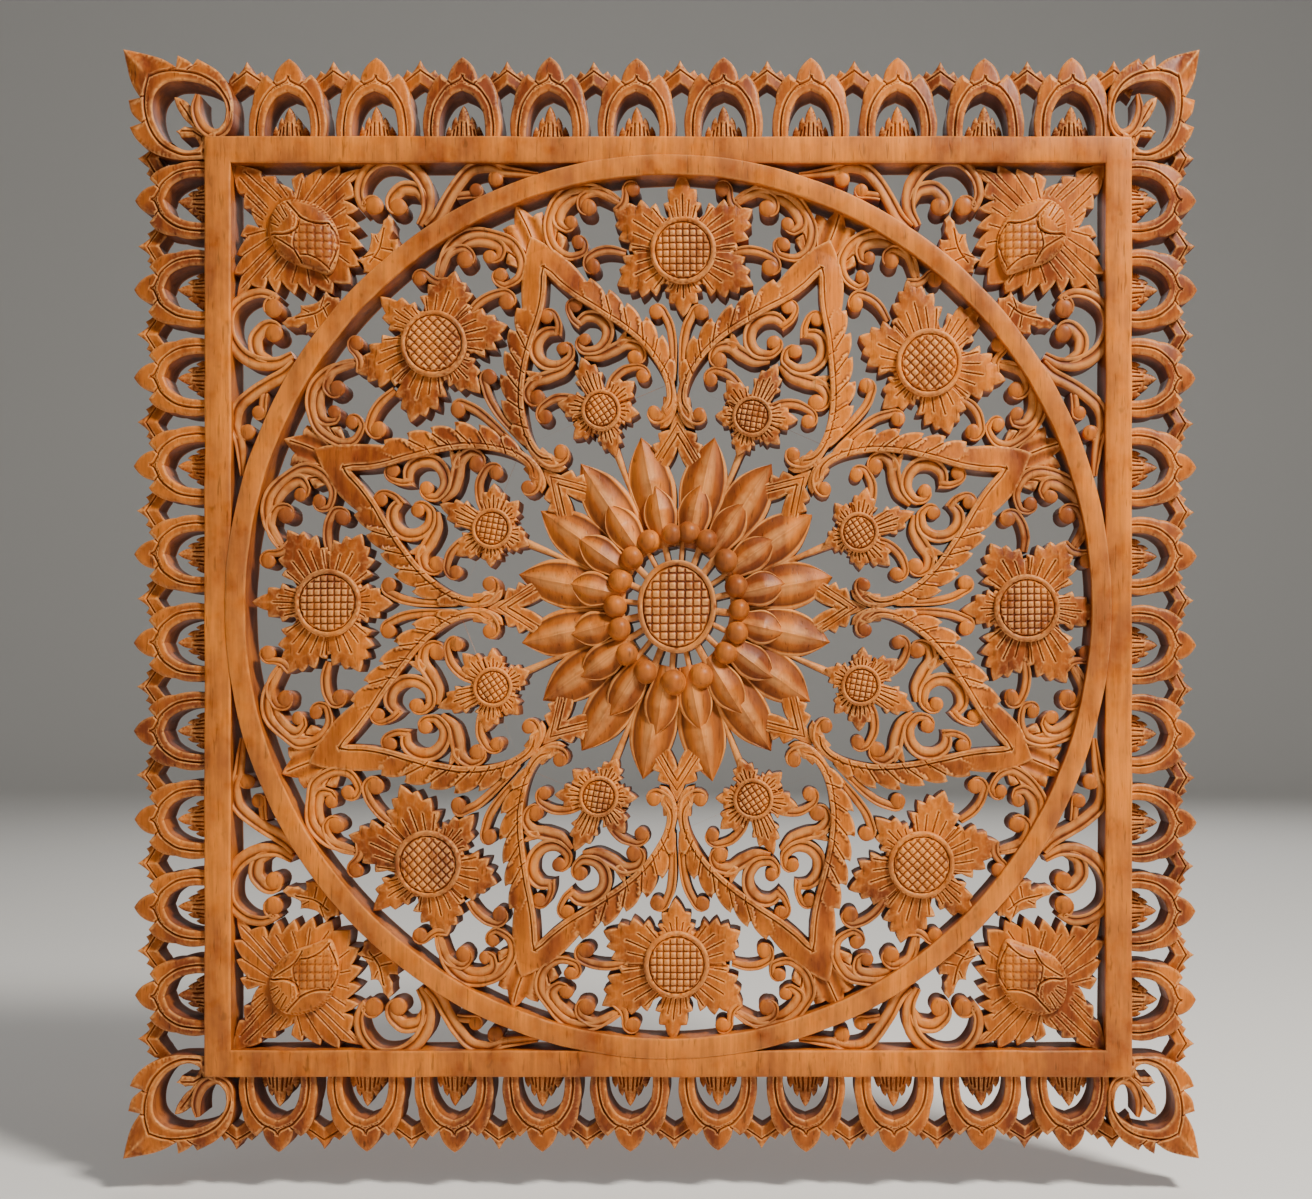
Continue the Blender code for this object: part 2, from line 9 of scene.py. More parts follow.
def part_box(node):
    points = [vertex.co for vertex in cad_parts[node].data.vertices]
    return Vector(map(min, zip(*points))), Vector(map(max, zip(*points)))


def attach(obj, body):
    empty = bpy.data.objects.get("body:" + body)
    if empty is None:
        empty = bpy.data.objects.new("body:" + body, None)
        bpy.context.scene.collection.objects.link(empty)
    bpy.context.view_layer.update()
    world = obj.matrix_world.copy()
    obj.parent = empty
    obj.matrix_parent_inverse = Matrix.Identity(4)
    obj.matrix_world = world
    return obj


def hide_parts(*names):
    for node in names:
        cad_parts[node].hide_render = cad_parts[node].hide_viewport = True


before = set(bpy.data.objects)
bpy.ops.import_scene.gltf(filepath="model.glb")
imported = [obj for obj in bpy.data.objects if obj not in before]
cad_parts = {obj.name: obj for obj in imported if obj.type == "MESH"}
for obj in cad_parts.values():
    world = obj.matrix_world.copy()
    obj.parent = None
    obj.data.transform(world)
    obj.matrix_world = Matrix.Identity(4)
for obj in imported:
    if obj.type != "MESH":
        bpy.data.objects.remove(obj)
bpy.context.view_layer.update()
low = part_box("carved_panel")[0]

# The room
# A pale floor that curves up far behind the panel, and soft studio light from the
# upper right. The camera looks straight along +Y, as the photographer did.
FLOOR_DROP = 0.03
SWEEP_AWAY = 6.0
SWEEP_BEND = 2.0
FLOOR_REACH = 14.0
FRAME_FACE = 0.040
CAMERA_AWAY = 1.5
PICTURE = (1312.0, 1199.0)
METRES_PER_PIXEL = 0.844 / 929.0
# where the frame's middle and the lens axis fall in the picture, in its pixels
FRAME_MIDDLE = (668.0, 606.5)
LENS_AXIS = (760.0, 690.0)


def sweep_floor():
    """A floor that turns up into a wall behind the panel, in one sheet."""
    drop = low.z - FLOOR_DROP
    section = [(-FLOOR_REACH, drop)]
    for step in range(17):
        turn = math.pi / 2 * step / 16
        section.append((SWEEP_AWAY + SWEEP_BEND * math.sin(turn), drop + SWEEP_BEND * (1 - math.cos(turn))))
    section.append((SWEEP_AWAY + SWEEP_BEND, drop + FLOOR_REACH))
    corners = [(x, y, z) for y, z in section for x in (-FLOOR_REACH, FLOOR_REACH)]
    sides = [(2 * k, 2 * k + 1, 2 * k + 3, 2 * k + 2) for k in range(len(section) - 1)]
    mesh = bpy.data.meshes.new("floor")
    mesh.from_pydata(corners, [], sides)
    mesh.shade_smooth()
    floor = bpy.data.objects.new("floor", mesh)
    bpy.context.scene.collection.objects.link(floor)
    paint = bpy.data.materials.new("pale_floor")
    paint.use_nodes = True
    shader = paint.node_tree.nodes["Principled BSDF"]
    shader.inputs["Base Color"].default_value = (0.76, 0.76, 0.75, 1.0)
    shader.inputs["Roughness"].default_value = 0.9
    mesh.materials.append(paint)
    return floor


sweep_floor()


def soft_light(name, place, aim, size, power, colour):
    """A square lamp at a place, turned to shine at a point."""
    lamp = bpy.data.lights.new(name, "AREA")
    lamp.size = size
    lamp.energy = power
    lamp.color = colour
    holder = bpy.data.objects.new(name, lamp)
    holder.location = place
    away = Vector([to - at for to, at in zip(aim, place)])
    holder.rotation_euler = away.to_track_quat("-Z", "Y").to_euler()
    bpy.context.scene.collection.objects.link(holder)


soft_light("key", (1.6, -1.6, 2.2), (0.0, 0.0, 0.05), 0.6, 178.0, (1.0, 0.94, 0.85))
soft_light("fill", (-2.6, -2.6, 0.4), (0.0, 0.0, 0.0), 2.4, 9.0, (1.0, 0.97, 0.93))
soft_light("back", (0.6, 3.6, 2.6), (0.0, 0.0, 0.0), 3.0, 70.0, (1.0, 0.97, 0.93))
world = bpy.data.worlds.new("studio")
world.use_nodes = True
world.node_tree.nodes["Background"].inputs["Color"].default_value = (1.0, 0.97, 0.93, 1.0)
world.node_tree.nodes["Background"].inputs["Strength"].default_value = 0.17
bpy.context.scene.world = world

camera_data = bpy.data.cameras.new("camera")
camera_data.lens = camera_data.sensor_width * CAMERA_AWAY / (PICTURE[0] * METRES_PER_PIXEL)
camera_data.shift_x = (PICTURE[0] / 2 - LENS_AXIS[0]) / PICTURE[0]
camera_data.shift_y = (LENS_AXIS[1] - PICTURE[1] / 2) / PICTURE[0]
camera = bpy.data.objects.new("camera", camera_data)
camera.location = (
    (LENS_AXIS[0] - FRAME_MIDDLE[0]) * METRES_PER_PIXEL,
    -FRAME_FACE - CAMERA_AWAY,
    (FRAME_MIDDLE[1] - LENS_AXIS[1]) * METRES_PER_PIXEL,
)
camera.rotation_euler = (math.pi / 2, 0.0, 0.0)
bpy.context.scene.collection.objects.link(camera)
bpy.context.scene.camera = camera


# Square frame and ring
# Flat bars and a slightly oval ring, sawn from one board glued up from upright strips,
# planed on the face, with eased edges, and waxed a warm orange brown.
FRAME_WIDTH = 0.844
FRAME_HEIGHT = 0.856
BAR = 0.024
BAR_LEVEL = 0.0388
RING_LEVEL = 0.0400
RING_BAND = 0.0185
RING_HALF = (FRAME_WIDTH / 2 - BAR - RING_BAND + 0.0055, FRAME_HEIGHT / 2 - BAR - RING_BAND + 0.0075)
EASE = 0.0013
HAND = 0.0006
EDGE_ROW = 0.0015
# shading tone of the rim, the side walls and the back: above zero is painted shade, as in hollows; below zero pales a
# rim with rubbed wear and a painted highlight
RIM_SHADING_TONE = -0.55
WALL_SHADING_TONE = 0.40
BACK_SHADING_TONE = 0.10
SHARP_ANGLE = 38.0


def socket(group, name, kind, way="INPUT", value=None):
    """Adds a named input or output to a node group."""
    made = group.interface.new_socket(name=name, in_out=way, socket_type=kind)
    if value is not None:
        made.default_value = value
    return made


def link_chain(group, *pairs):
    """Links pairs of an output and an input."""
    for start, end in pairs:
        group.links.new(start, end)


def mathematics(group, way, first, second=None, clamp=False):
    """A Math node; its inputs are numbers or sockets."""
    node = group.nodes.new("ShaderNodeMath")
    node.operation = way
    node.use_clamp = clamp
    for place, value in zip(node.inputs, (first, second)):
        if isinstance(value, (int, float)):
            place.default_value = value
        elif value is not None:
            group.links.new(value, place)
    return node.outputs[0]


def blended(group, share, first, second, way="MIX"):
    """A colour mix; its share and colours are values or sockets."""
    node = group.nodes.new("ShaderNodeMix")
    node.data_type = "RGBA"
    node.blend_type = way
    for place, value in ((0, share), (6, first), (7, second)):
        if isinstance(value, (int, float, tuple)):
            node.inputs[place].default_value = value
        else:
            group.links.new(value, node.inputs[place])
    return node.outputs[2]


def noise(group, place, scale, stretch, detail=3.0, roughness=0.55):
    """Noise drawn out along the grain: a share of the place along each axis."""
    spread = group.nodes.new("ShaderNodeMapping")
    spread.inputs["Scale"].default_value = stretch
    pattern = group.nodes.new("ShaderNodeTexNoise")
    pattern.inputs["Scale"].default_value = scale
    pattern.inputs["Detail"].default_value = detail
    pattern.inputs["Roughness"].default_value = roughness
    link_chain(group, (place, spread.inputs["Vector"]), (spread.outputs[0], pattern.inputs["Vector"]))
    return pattern.outputs[0]


def ramp(group, value, *stops):
    """Maps a value through grey or coloured stops."""
    node = group.nodes.new("ShaderNodeValToRGB")
    while len(node.color_ramp.elements) < len(stops):
        node.color_ramp.elements.new(0.5)
    for element, (spot, colour) in zip(node.color_ramp.elements, stops):
        element.position = spot
        element.color = colour if isinstance(colour, tuple) else (colour, colour, colour, 1.0)
    group.links.new(value, node.inputs[0])
    return node.outputs[0]


def upright_grain():
    """Colour and relief of upright-grained wood, glued up from strips."""
    group = bpy.data.node_groups.new("upright_grain", "ShaderNodeTree")
    socket(group, "Place", "NodeSocketVector")
    socket(group, "Wood", "NodeSocketColor")
    socket(group, "Dark Wood", "NodeSocketColor")
    socket(group, "Strip Width", "NodeSocketFloat", value=0.16)
    socket(group, "Mottle", "NodeSocketFloat", value=0.55)
    socket(group, "Colour", "NodeSocketColor", "OUTPUT")
    socket(group, "Relief", "NodeSocketFloat", "OUTPUT")
    given = group.nodes.new("NodeGroupInput")
    out = group.nodes.new("NodeGroupOutput")
    place = given.outputs["Place"]
    fibres = noise(group, place, 260.0, (1.0, 1.0, 0.07), 4.0, 0.6)
    bands = noise(group, place, 34.0, (1.0, 0.6, 0.10), 3.0, 0.55)
    mottle = noise(group, place, 30.0, (1.0, 1.0, 0.55), 4.0, 0.62)
    clouds = noise(group, place, 9.0, (1.0, 1.0, 0.7), 3.0, 0.55)
    flecks = noise(group, place, 420.0, (1.0, 1.0, 0.10), 2.0, 0.5)
    spots = noise(group, place, 95.0, (1.0, 1.0, 0.6), 2.0, 0.6)
    split = group.nodes.new("ShaderNodeSeparateXYZ")
    group.links.new(place, split.inputs[0])
    strip = mathematics(
        group, "DIVIDE", mathematics(group, "ADD", split.outputs["X"], 0.53), given.outputs["Strip Width"]
    )
    number = mathematics(group, "FLOOR", strip)
    tone = group.nodes.new("ShaderNodeTexWhiteNoise")
    tone.noise_dimensions = "1D"
    group.links.new(number, tone.inputs["W"])
    parts = (
        mathematics(group, "MULTIPLY", ramp(group, bands, (0.36, 0.0), (0.66, 1.0)), 0.65),
        mathematics(
            group, "MULTIPLY", ramp(group, mottle, (0.42, 0.0), (0.68, 1.0)), given.outputs["Mottle"]
        ),
        mathematics(group, "MULTIPLY", ramp(group, clouds, (0.40, 0.0), (0.64, 1.0)), 0.55),
        mathematics(group, "MULTIPLY", tone.outputs["Value"], 0.22),
    )
    share = parts[0]
    for part in parts[1:]:
        share = mathematics(group, "ADD", share, part)
    share = mathematics(group, "SUBTRACT", share, 0.30, clamp=True)
    colour = blended(group, share, given.outputs["Wood"], given.outputs["Dark Wood"])
    fine = ramp(group, fibres, (0.32, 0.66), (0.60, 1.0))
    colour = blended(group, 0.85, colour, fine, "MULTIPLY")
    pores = ramp(group, flecks, (0.63, 1.0), (0.71, 0.42))
    colour = blended(group, 0.8, colour, pores, "MULTIPLY")
    knots = ramp(group, spots, (0.66, 1.0), (0.74, 0.45))
    colour = blended(group, 0.7, colour, knots, "MULTIPLY")
    relief = mathematics(group, "MULTIPLY", fibres, 0.6)
    relief = mathematics(
        group, "SUBTRACT", relief,
        mathematics(group, "MULTIPLY", ramp(group, flecks, (0.62, 0.0), (0.74, 1.0)), 0.5)
    )
    link_chain(group, (colour, out.inputs["Colour"]), (relief, out.inputs["Relief"]))
    return group


def hand_wear():
    """Paints shade into cut hollows, side walls and sunk surfaces, and paints rubbed wear and a highlight onto the
    edges.
    """
    group = bpy.data.node_groups.new("hand_wear", "ShaderNodeTree")
    socket(group, "Place", "NodeSocketVector")
    socket(group, "Colour", "NodeSocketColor")
    socket(group, "Crease", "NodeSocketFloat")
    socket(group, "Painted Shade", "NodeSocketFloat", value=0.6)
    socket(group, "Edge Highlight", "NodeSocketFloat", value=0.5)
    socket(group, "Colour", "NodeSocketColor", "OUTPUT")
    socket(group, "Roughness", "NodeSocketFloat", "OUTPUT")
    given = group.nodes.new("NodeGroupInput")
    out = group.nodes.new("NodeGroupOutput")
    place = given.outputs["Place"]
    crease = given.outputs["Crease"]
    split = group.nodes.new("ShaderNodeSeparateXYZ")
    group.links.new(place, split.inputs[0])
    # painted shade: the further a surface lies sunk toward the back, the more it is mixed toward dark brown
    depth = group.nodes.new("ShaderNodeMapRange")
    for name, value in (("From Min", -0.0255), ("From Max", -0.006), ("To Min", 0.0), ("To Max", 0.75)):
        depth.inputs[name].default_value = value
    group.links.new(split.outputs["Y"], depth.inputs["Value"])
    # the painted shade by depth fades out over the last millimetres before the flat back, which keep the plain colour
    # of the wood
    back = group.nodes.new("ShaderNodeMapRange")
    for name, value in (("From Min", -0.0040), ("From Max", -0.0012), ("To Min", 1.0), ("To Max", 0.15)):
        back.inputs[name].default_value = value
    group.links.new(split.outputs["Y"], back.inputs["Value"])
    depth_shade = mathematics(group, "MULTIPLY", depth.outputs[0], back.outputs[0])
    colour = blended(group, depth_shade, given.outputs["Colour"], (0.100, 0.024, 0.006, 1.0))
    # painted shade: hollows and side walls are mixed toward a near black brown by their shading tone
    painted_shade = mathematics(
        group, "MULTIPLY", mathematics(group, "MAXIMUM", crease, 0.0), given.outputs["Painted Shade"]
    )
    colour = blended(group, painted_shade, colour, (0.085, 0.020, 0.005, 1.0))
    # rubbed wear and painted highlight: rims and ridges, where the shading tone is below zero, are paled toward a
    # light orange in patches
    rubbed = noise(group, place, 60.0, (1.0, 1.0, 1.0), 3.0, 0.6)
    edge = mathematics(group, "MAXIMUM", mathematics(group, "MULTIPLY", crease, -1.0), 0.0)
    edge = mathematics(group, "MULTIPLY", edge, ramp(group, rubbed, (0.30, 0.15), (0.52, 1.0)))
    edge = mathematics(group, "MULTIPLY", edge, given.outputs["Edge Highlight"])
    colour = blended(group, edge, colour, (0.92, 0.42, 0.13, 1.0))
    gloss = mathematics(group, "ADD", mathematics(group, "MULTIPLY", rubbed, 0.30), 0.26)
    gloss = mathematics(group, "ADD", gloss, mathematics(group, "MULTIPLY", painted_shade, 0.3))
    gloss = mathematics(group, "ADD", gloss, mathematics(group, "MULTIPLY", depth_shade, 0.4), clamp=True)
    link_chain(group, (colour, out.inputs["Colour"]), (gloss, out.inputs["Roughness"]))
    return group


GRAIN = upright_grain()
PAINTED_LIGHT = hand_wear()


def waxed_wood(name, wood, dark, painted_shade, pale, mottle):
    """Waxed wood: one colour, its darker streaks, how strong its painted shade and its edge wear with painted
    highlight are, and how mottled it is.
    """
    made = bpy.data.materials.new(name)
    made.use_nodes = True
    tree = made.node_tree
    shader = tree.nodes["Principled BSDF"]
    place = tree.nodes.new("ShaderNodeTexCoord").outputs["Object"]
    grain = tree.nodes.new("ShaderNodeGroup")
    grain.node_tree = GRAIN
    grain.inputs["Wood"].default_value = wood
    grain.inputs["Dark Wood"].default_value = dark
    grain.inputs["Mottle"].default_value = mottle
    painted_light = tree.nodes.new("ShaderNodeGroup")
    painted_light.node_tree = PAINTED_LIGHT
    painted_light.inputs["Painted Shade"].default_value = painted_shade
    painted_light.inputs["Edge Highlight"].default_value = pale
    # the shading tone stored on each piece drives the painted shade and the painted edge highlight
    crease = tree.nodes.new("ShaderNodeAttribute")
    crease.attribute_name = "crease"
    bump = tree.nodes.new("ShaderNodeBump")
    bump.inputs["Strength"].default_value = 0.35
    bump.inputs["Distance"].default_value = 0.0008
    shader.inputs["Specular IOR Level"].default_value = 0.24
    shader.inputs["IOR"].default_value = 1.40
    link_chain(
        tree,
        (place, grain.inputs["Place"]),
        (place, painted_light.inputs["Place"]),
        (grain.outputs["Colour"], painted_light.inputs["Colour"]),
        (crease.outputs["Fac"], painted_light.inputs["Crease"]),
        (painted_light.outputs["Colour"], shader.inputs["Base Color"]),
        (painted_light.outputs["Roughness"], shader.inputs["Roughness"]),
        (grain.outputs["Relief"], bump.inputs["Height"]),
        (bump.outputs["Normal"], shader.inputs["Normal"]),
    )
    return made


board_wood = waxed_wood("board_wood", (0.74, 0.205, 0.016, 1.0), (0.27, 0.056, 0.008, 1.0), 0.75, 0.5, 0.60)


def joined(*parts):
    """Several carved bodies as one set of corners, faces and shading tones."""
    corners = []
    faces = []
    shading_tones = []
    for part_corners, part_faces, part_shading_tones in parts:
        start = sum(len(found) for found in corners)
        corners.append(part_corners)
        faces += [tuple(i + start for i in face) for face in part_faces]
        shading_tones.append(part_shading_tones)
    return np.vstack(corners), faces, np.concatenate(shading_tones)


def wooden(name, part):
    """An object from a carved body, without a material yet."""
    corners, faces, shading_tones = part
    mesh = bpy.data.meshes.new(name)
    mesh.from_pydata(corners.tolist(), [], faces)
    mesh.attributes.new("crease", "FLOAT", "POINT").data.foreach_set("value", shading_tones.astype(np.float32))
    made = bpy.data.objects.new(name, mesh)
    bpy.context.scene.collection.objects.link(made)
    return made


def strip(left, right, across, levels, back=0.0, closed=False):
    """A body that follows two rails, with a front given by shares across and levels.

    levels holds one row for every point of the rails, or one row for all of them."""
    count = len(left)
    levels = np.broadcast_to(np.asarray(levels, float), (count, len(across)))
    rows = []
    for share, level in zip(across, levels.T):
        spot = left + (right - left) * share
        rows.append(np.column_stack((spot[:, 0], -level, spot[:, 1])))
    rows.append(np.column_stack((right[:, 0], -(levels[:, -1] - EDGE_ROW), right[:, 1])))
    rows.append(np.column_stack((right[:, 0], np.full(count, -back), right[:, 1])))
    rows.append(np.column_stack((left[:, 0], np.full(count, -back), left[:, 1])))
    rows.append(np.column_stack((left[:, 0], -(levels[:, 0] - EDGE_ROW), left[:, 1])))
    around = len(rows)
    corners = np.stack(rows, axis=1).reshape(-1, 3)
    faces = []
    for i in range(count if closed else count - 1):
        j = (i + 1) % count
        for k in range(around):
            other = (k + 1) % around
            faces.append((i * around + k, i * around + other, j * around + other, j * around + k))
    if not closed:
        faces.append(tuple(range(around))[::-1])
        faces.append(tuple((count - 1) * around + k for k in range(around)))
    # shading tone: painted shade in grooves, on the side walls and on the back; painted highlight on ridges and rims
    bend = np.zeros((count, len(across)))
    bend[:, 1:-1] = (levels[:, :-2] + levels[:, 2:]) / 2 - levels[:, 1:-1]
    bend = np.clip(bend / 0.0006, -1.0, 1.0)
    bend[:, 0] = bend[:, -1] = RIM_SHADING_TONE
    walls = [np.full(count, crease) for crease in (WALL_SHADING_TONE, BACK_SHADING_TONE, BACK_SHADING_TONE, WALL_SHADING_TONE)]
    shading_tones = np.column_stack((bend, *walls))
    return corners, faces, shading_tones.reshape(-1)


def oval(half_across, half_up, count, start=0.0):
    """Points round an oval, clockwise from its top."""
    turn = math.tau * (np.arange(count) + start) / count
    return np.column_stack((half_across * np.sin(turn), half_up * np.cos(turn)))


def rectangle(half_across, half_up, count):
    """Points round a rectangle, clockwise from its top left, so many on each side."""
    share = np.arange(count) / count
    side = np.array([(-1, 1), (1, 1), (1, -1), (-1, -1), (-1, 1)], float) * (half_across, half_up)
    return np.vstack([side[k] + (side[k + 1] - side[k]) * share[:, None] for k in range(4)])


def hand_cut():
    """Moves each spot a little, as a knife held by hand would."""
    group = bpy.data.node_groups.new("hand_cut", "GeometryNodeTree")
    socket(group, "Geometry", "NodeSocketGeometry")
    socket(group, "Stray", "NodeSocketFloat", value=HAND)
    socket(group, "Geometry", "NodeSocketGeometry", "OUTPUT")
    given = group.nodes.new("NodeGroupInput")
    out = group.nodes.new("NodeGroupOutput")
    place = group.nodes.new("GeometryNodeInputPosition")
    pattern = group.nodes.new("ShaderNodeTexNoise")
    pattern.inputs["Scale"].default_value = 22.0
    pattern.inputs["Detail"].default_value = 2.0
    centre = group.nodes.new("ShaderNodeVectorMath")
    centre.operation = "SUBTRACT"
    centre.inputs[1].default_value = (0.5, 0.5, 0.5)
    flatten = group.nodes.new("ShaderNodeVectorMath")
    flatten.operation = "MULTIPLY"
    flatten.inputs[1].default_value = (4.0, 0.0, 4.0)
    size = group.nodes.new("ShaderNodeVectorMath")
    size.operation = "SCALE"
    move = group.nodes.new("GeometryNodeSetPosition")
    link_chain(
        group,
        (place.outputs[0], pattern.inputs["Vector"]),
        (pattern.outputs["Color"], centre.inputs[0]),
        (centre.outputs[0], flatten.inputs[0]),
        (flatten.outputs[0], size.inputs[0]),
        (given.outputs["Stray"], size.inputs["Scale"]),
        (given.outputs["Geometry"], move.inputs["Geometry"]),
        (size.outputs[0], move.inputs["Offset"]),
        (move.outputs[0], out.inputs["Geometry"]),
    )
    return group


HAND_CUT = hand_cut()


def cut_by_hand():
    """The tree that finishes a single carved piece."""
    group = bpy.data.node_groups.new("cut_by_hand", "GeometryNodeTree")
    socket(group, "Geometry", "NodeSocketGeometry")
    socket(group, "Stray", "NodeSocketFloat", value=HAND)
    socket(group, "Wood", "NodeSocketMaterial")
    socket(group, "Geometry", "NodeSocketGeometry", "OUTPUT")
    given = group.nodes.new("NodeGroupInput")
    out = group.nodes.new("NodeGroupOutput")
    hand = group.nodes.new("GeometryNodeGroup")
    hand.node_tree = HAND_CUT
    real = group.nodes.new("GeometryNodeRealizeInstances")
    paint = group.nodes.new("GeometryNodeSetMaterial")
    link_chain(
        group,
        (given.outputs["Geometry"], hand.inputs["Geometry"]),
        (given.outputs["Stray"], hand.inputs["Stray"]),
        (hand.outputs["Geometry"], real.inputs[0]),
        (real.outputs[0], paint.inputs["Geometry"]),
        (given.outputs["Wood"], paint.inputs["Material"]),
        (paint.outputs[0], out.inputs["Geometry"]),
    )
    return group


CUT_BY_HAND = cut_by_hand()


def made_with(tree, source, **values):
    """Runs a geometry tree on an object and leaves its result as the piece's own mesh."""
    modifier = source.modifiers.new("carving", "NODES")
    modifier.node_group = tree
    for item in tree.interface.items_tree:
        key = item.name.lower().replace(" ", "_")
        if item.in_out == "INPUT" and key in values:
            modifier[item.identifier] = values[key]
    ready = source.evaluated_get(bpy.context.evaluated_depsgraph_get())
    mesh = bpy.data.meshes.new_from_object(ready)
    source.modifiers.remove(modifier)
    mesh.name = source.name
    source.data = mesh
    mesh.shade_smooth()
    mesh.set_sharp_from_angle(angle=math.radians(SHARP_ANGLE))
    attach(source, "root")
    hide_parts("carved_panel")
    return source


def carved(name, part, wood):
    """A single piece of the panel, hand cut and waxed."""
    return made_with(CUT_BY_HAND, wooden(name, part), wood=wood, stray=HAND)


def square_frame():
    """The four bars in one run, mitred only in the drawing and solid in the wood."""
    outer = rectangle(FRAME_WIDTH / 2, FRAME_HEIGHT / 2, 48)
    inner = rectangle(FRAME_WIDTH / 2 - BAR, FRAME_HEIGHT / 2 - BAR, 48)
    shares = (0.0, 0.03, 0.09, 0.5, 0.91, 0.97, 1.0)
    drops = (1.0, 0.3, 0.0, -0.1, 0.0, 0.3, 1.0)
    levels = [BAR_LEVEL - EASE * drop for drop in drops]
    return strip(outer, inner, shares, levels, closed=True)


def round_ring():
    """The ring, which runs over the bars at the middle of each side."""
    outer = oval(RING_HALF[0] + RING_BAND, RING_HALF[1] + RING_BAND, 360)
    inner = oval(RING_HALF[0], RING_HALF[1], 360)
    shares = (0.0, 0.04, 0.12, 0.5, 0.88, 0.96, 1.0)
    drops = (1.2, 0.35, 0.0, -0.1, 0.0, 0.35, 1.2)
    levels = [RING_LEVEL - EASE * drop for drop in drops]
    return strip(outer, inner, shares, levels, back=0.0002, closed=True)


carved("square_frame", square_frame(), board_wood)
carved("round_ring", round_ring(), board_wood)


# Fringe
# Ten horseshoe arches along every side, each with a raised inner rim and a pointed leaf
# outside it, a small sprig inside, and a lower folded trefoil between two arches.
fringe_wood = waxed_wood(
    "fringe_wood", (0.62, 0.168, 0.018, 1.0), (0.19, 0.038, 0.010, 1.0), 0.9, 0.7, 0.80
)
DRAWN_DEPTH = 80.5
DRAWN_PITCH = 88.5
ARCHES = 10
MM = 0.001
GRID = 1.5
# points handled at once, which keeps the tables of distances small
CHUNK = 3000


def spaced(points, gap):
    """Points at an even gap along straight runs, with every given point kept."""
    found = []
    for here, there in zip(points, points[1:]):
        run = math.dist(here, there)
        count = max(1, round(run / gap))
        for k in range(count):
            part = k / count
            found.append((here[0] + (there[0] - here[0]) * part, here[1] + (there[1] - here[1]) * part))
    return found + [tuple(points[-1])]


def lengths(path):
    """How far along a path each of its points lies."""
    return np.concatenate(([0.0], np.cumsum(np.hypot(*np.diff(path, axis=0).T))))


def leftwards(path):
    """The direction to the left of a path at each of its points."""
    way = np.gradient(path, axis=0)
    way /= np.maximum(np.hypot(*way.T), 1e-9)[:, None]
    return np.column_stack((-way[:, 1], way[:, 0]))


def curve(points, gap=GRID):
    """An evenly spaced smooth curve through the points."""
    path = [tuple(2 * a - b for a, b in zip(points[0], points[1]))] + list(points)
    path.append(tuple(2 * a - b for a, b in zip(points[-1], points[-2])))
    fine = []
    for a, b, c, d in zip(path, path[1:], path[2:], path[3:]):
        for k in range(12):
            t = k / 12
            fine.append(tuple(
                0.5 * (
                    2 * q + (r - p) * t + (2 * p - 5 * q + 4 * r - s) * t * t + (3 * q - p - 3 * r + s) * t ** 3
                )
                for p, q, r, s in zip(a, b, c, d)
            ))
    fine.append(tuple(points[-1]))
    fine = np.array(fine)
    run = lengths(fine)
    count = max(2, round(run[-1] / gap) + 1)
    even = np.linspace(0.0, run[-1], count)
    return list(zip(np.interp(even, run, fine[:, 0]), np.interp(even, run, fine[:, 1])))


def bowed(points, bow, gap=GRID):
    """Straight runs swollen to the left of the way they go, by a share of their length."""
    found = []
    for (x0, y0), (x1, y1) in zip(points, points[1:]):
        mid = ((x0 + x1) / 2 - (y1 - y0) * bow * 2, (y0 + y1) / 2 + (x1 - x0) * bow * 2)
        count = max(2, round(math.dist((x0, y0), (x1, y1)) / gap))
        for k in range(count):
            t = k / count
            found.append(tuple(
                a * (1 - t) ** 2 + 2 * m * t * (1 - t) + b * t * t for a, m, b in zip((x0, y0), mid, (x1, y1))
            ))
    return found + [tuple(points[-1])]


def mirrored(half):
    """A whole path from its half on the right, whose last point may lie on the middle."""
    return list(half) + [(-x, y) for x, y in half[::-1] if abs(x) > 1e-6]


def sides_of(loops):
    """Start and end points of every side of closed loops."""
    starts = np.vstack([np.array(loop, float) for loop in loops])
    ends = np.vstack([np.roll(np.array(loop, float), -1, axis=0) for loop in loops])
    return starts, ends


def inside(points, loops):
    """True for each point inside the loops, counting holes as outside."""
    starts, ends = sides_of(loops)
    found = np.zeros(len(points), bool)
    rise = np.where(ends[:, 1] == starts[:, 1], 1e-9, ends[:, 1] - starts[:, 1])
    for k in range(0, len(points), CHUNK):
        x = points[k:k + CHUNK, 0:1]
        y = points[k:k + CHUNK, 1:2]
        crossed = (starts[:, 1] > y) != (ends[:, 1] > y)
        at = starts[:, 0] + (y - starts[:, 1]) * (ends[:, 0] - starts[:, 0]) / rise
        found[k:k + CHUNK] = (crossed & (x < at)).sum(axis=1) % 2 == 1
    return found


def distance(points, starts, ends):
    """Distance from each point to the nearest of many sides."""
    found = np.empty(len(points))
    along = ends - starts
    square = np.maximum((along ** 2).sum(axis=1), 1e-12)
    for k in range(0, len(points), CHUNK):
        off = points[k:k + CHUNK, None, :] - starts[None]
        part = np.clip((off * along).sum(axis=2) / square, 0.0, 1.0)
        off -= part[..., None] * along
        found[k:k + CHUNK] = np.sqrt((off ** 2).sum(axis=2).min(axis=1))
    return found


def to_path(points, path):
    """Distance from each point to an open path."""
    path = np.array(path, float)
    return distance(points, path[:-1], path[1:])


def rounded(edge, radius, drop):
    """How far a rounded edge falls at a distance from the outline."""
    part = np.clip(edge / radius, 0.0, 1.0)
    return drop * (1.0 - np.sqrt(1.0 - (1.0 - part) ** 2))


def turned(points, degrees, centre=(0.0, 0.0)):
    """Drawn points turned anticlockwise and moved to a centre."""
    c = math.cos(math.radians(degrees))
    s = math.sin(math.radians(degrees))
    return [(centre[0] + x * c - y * s, centre[1] + x * s + y * c) for x, y in points]


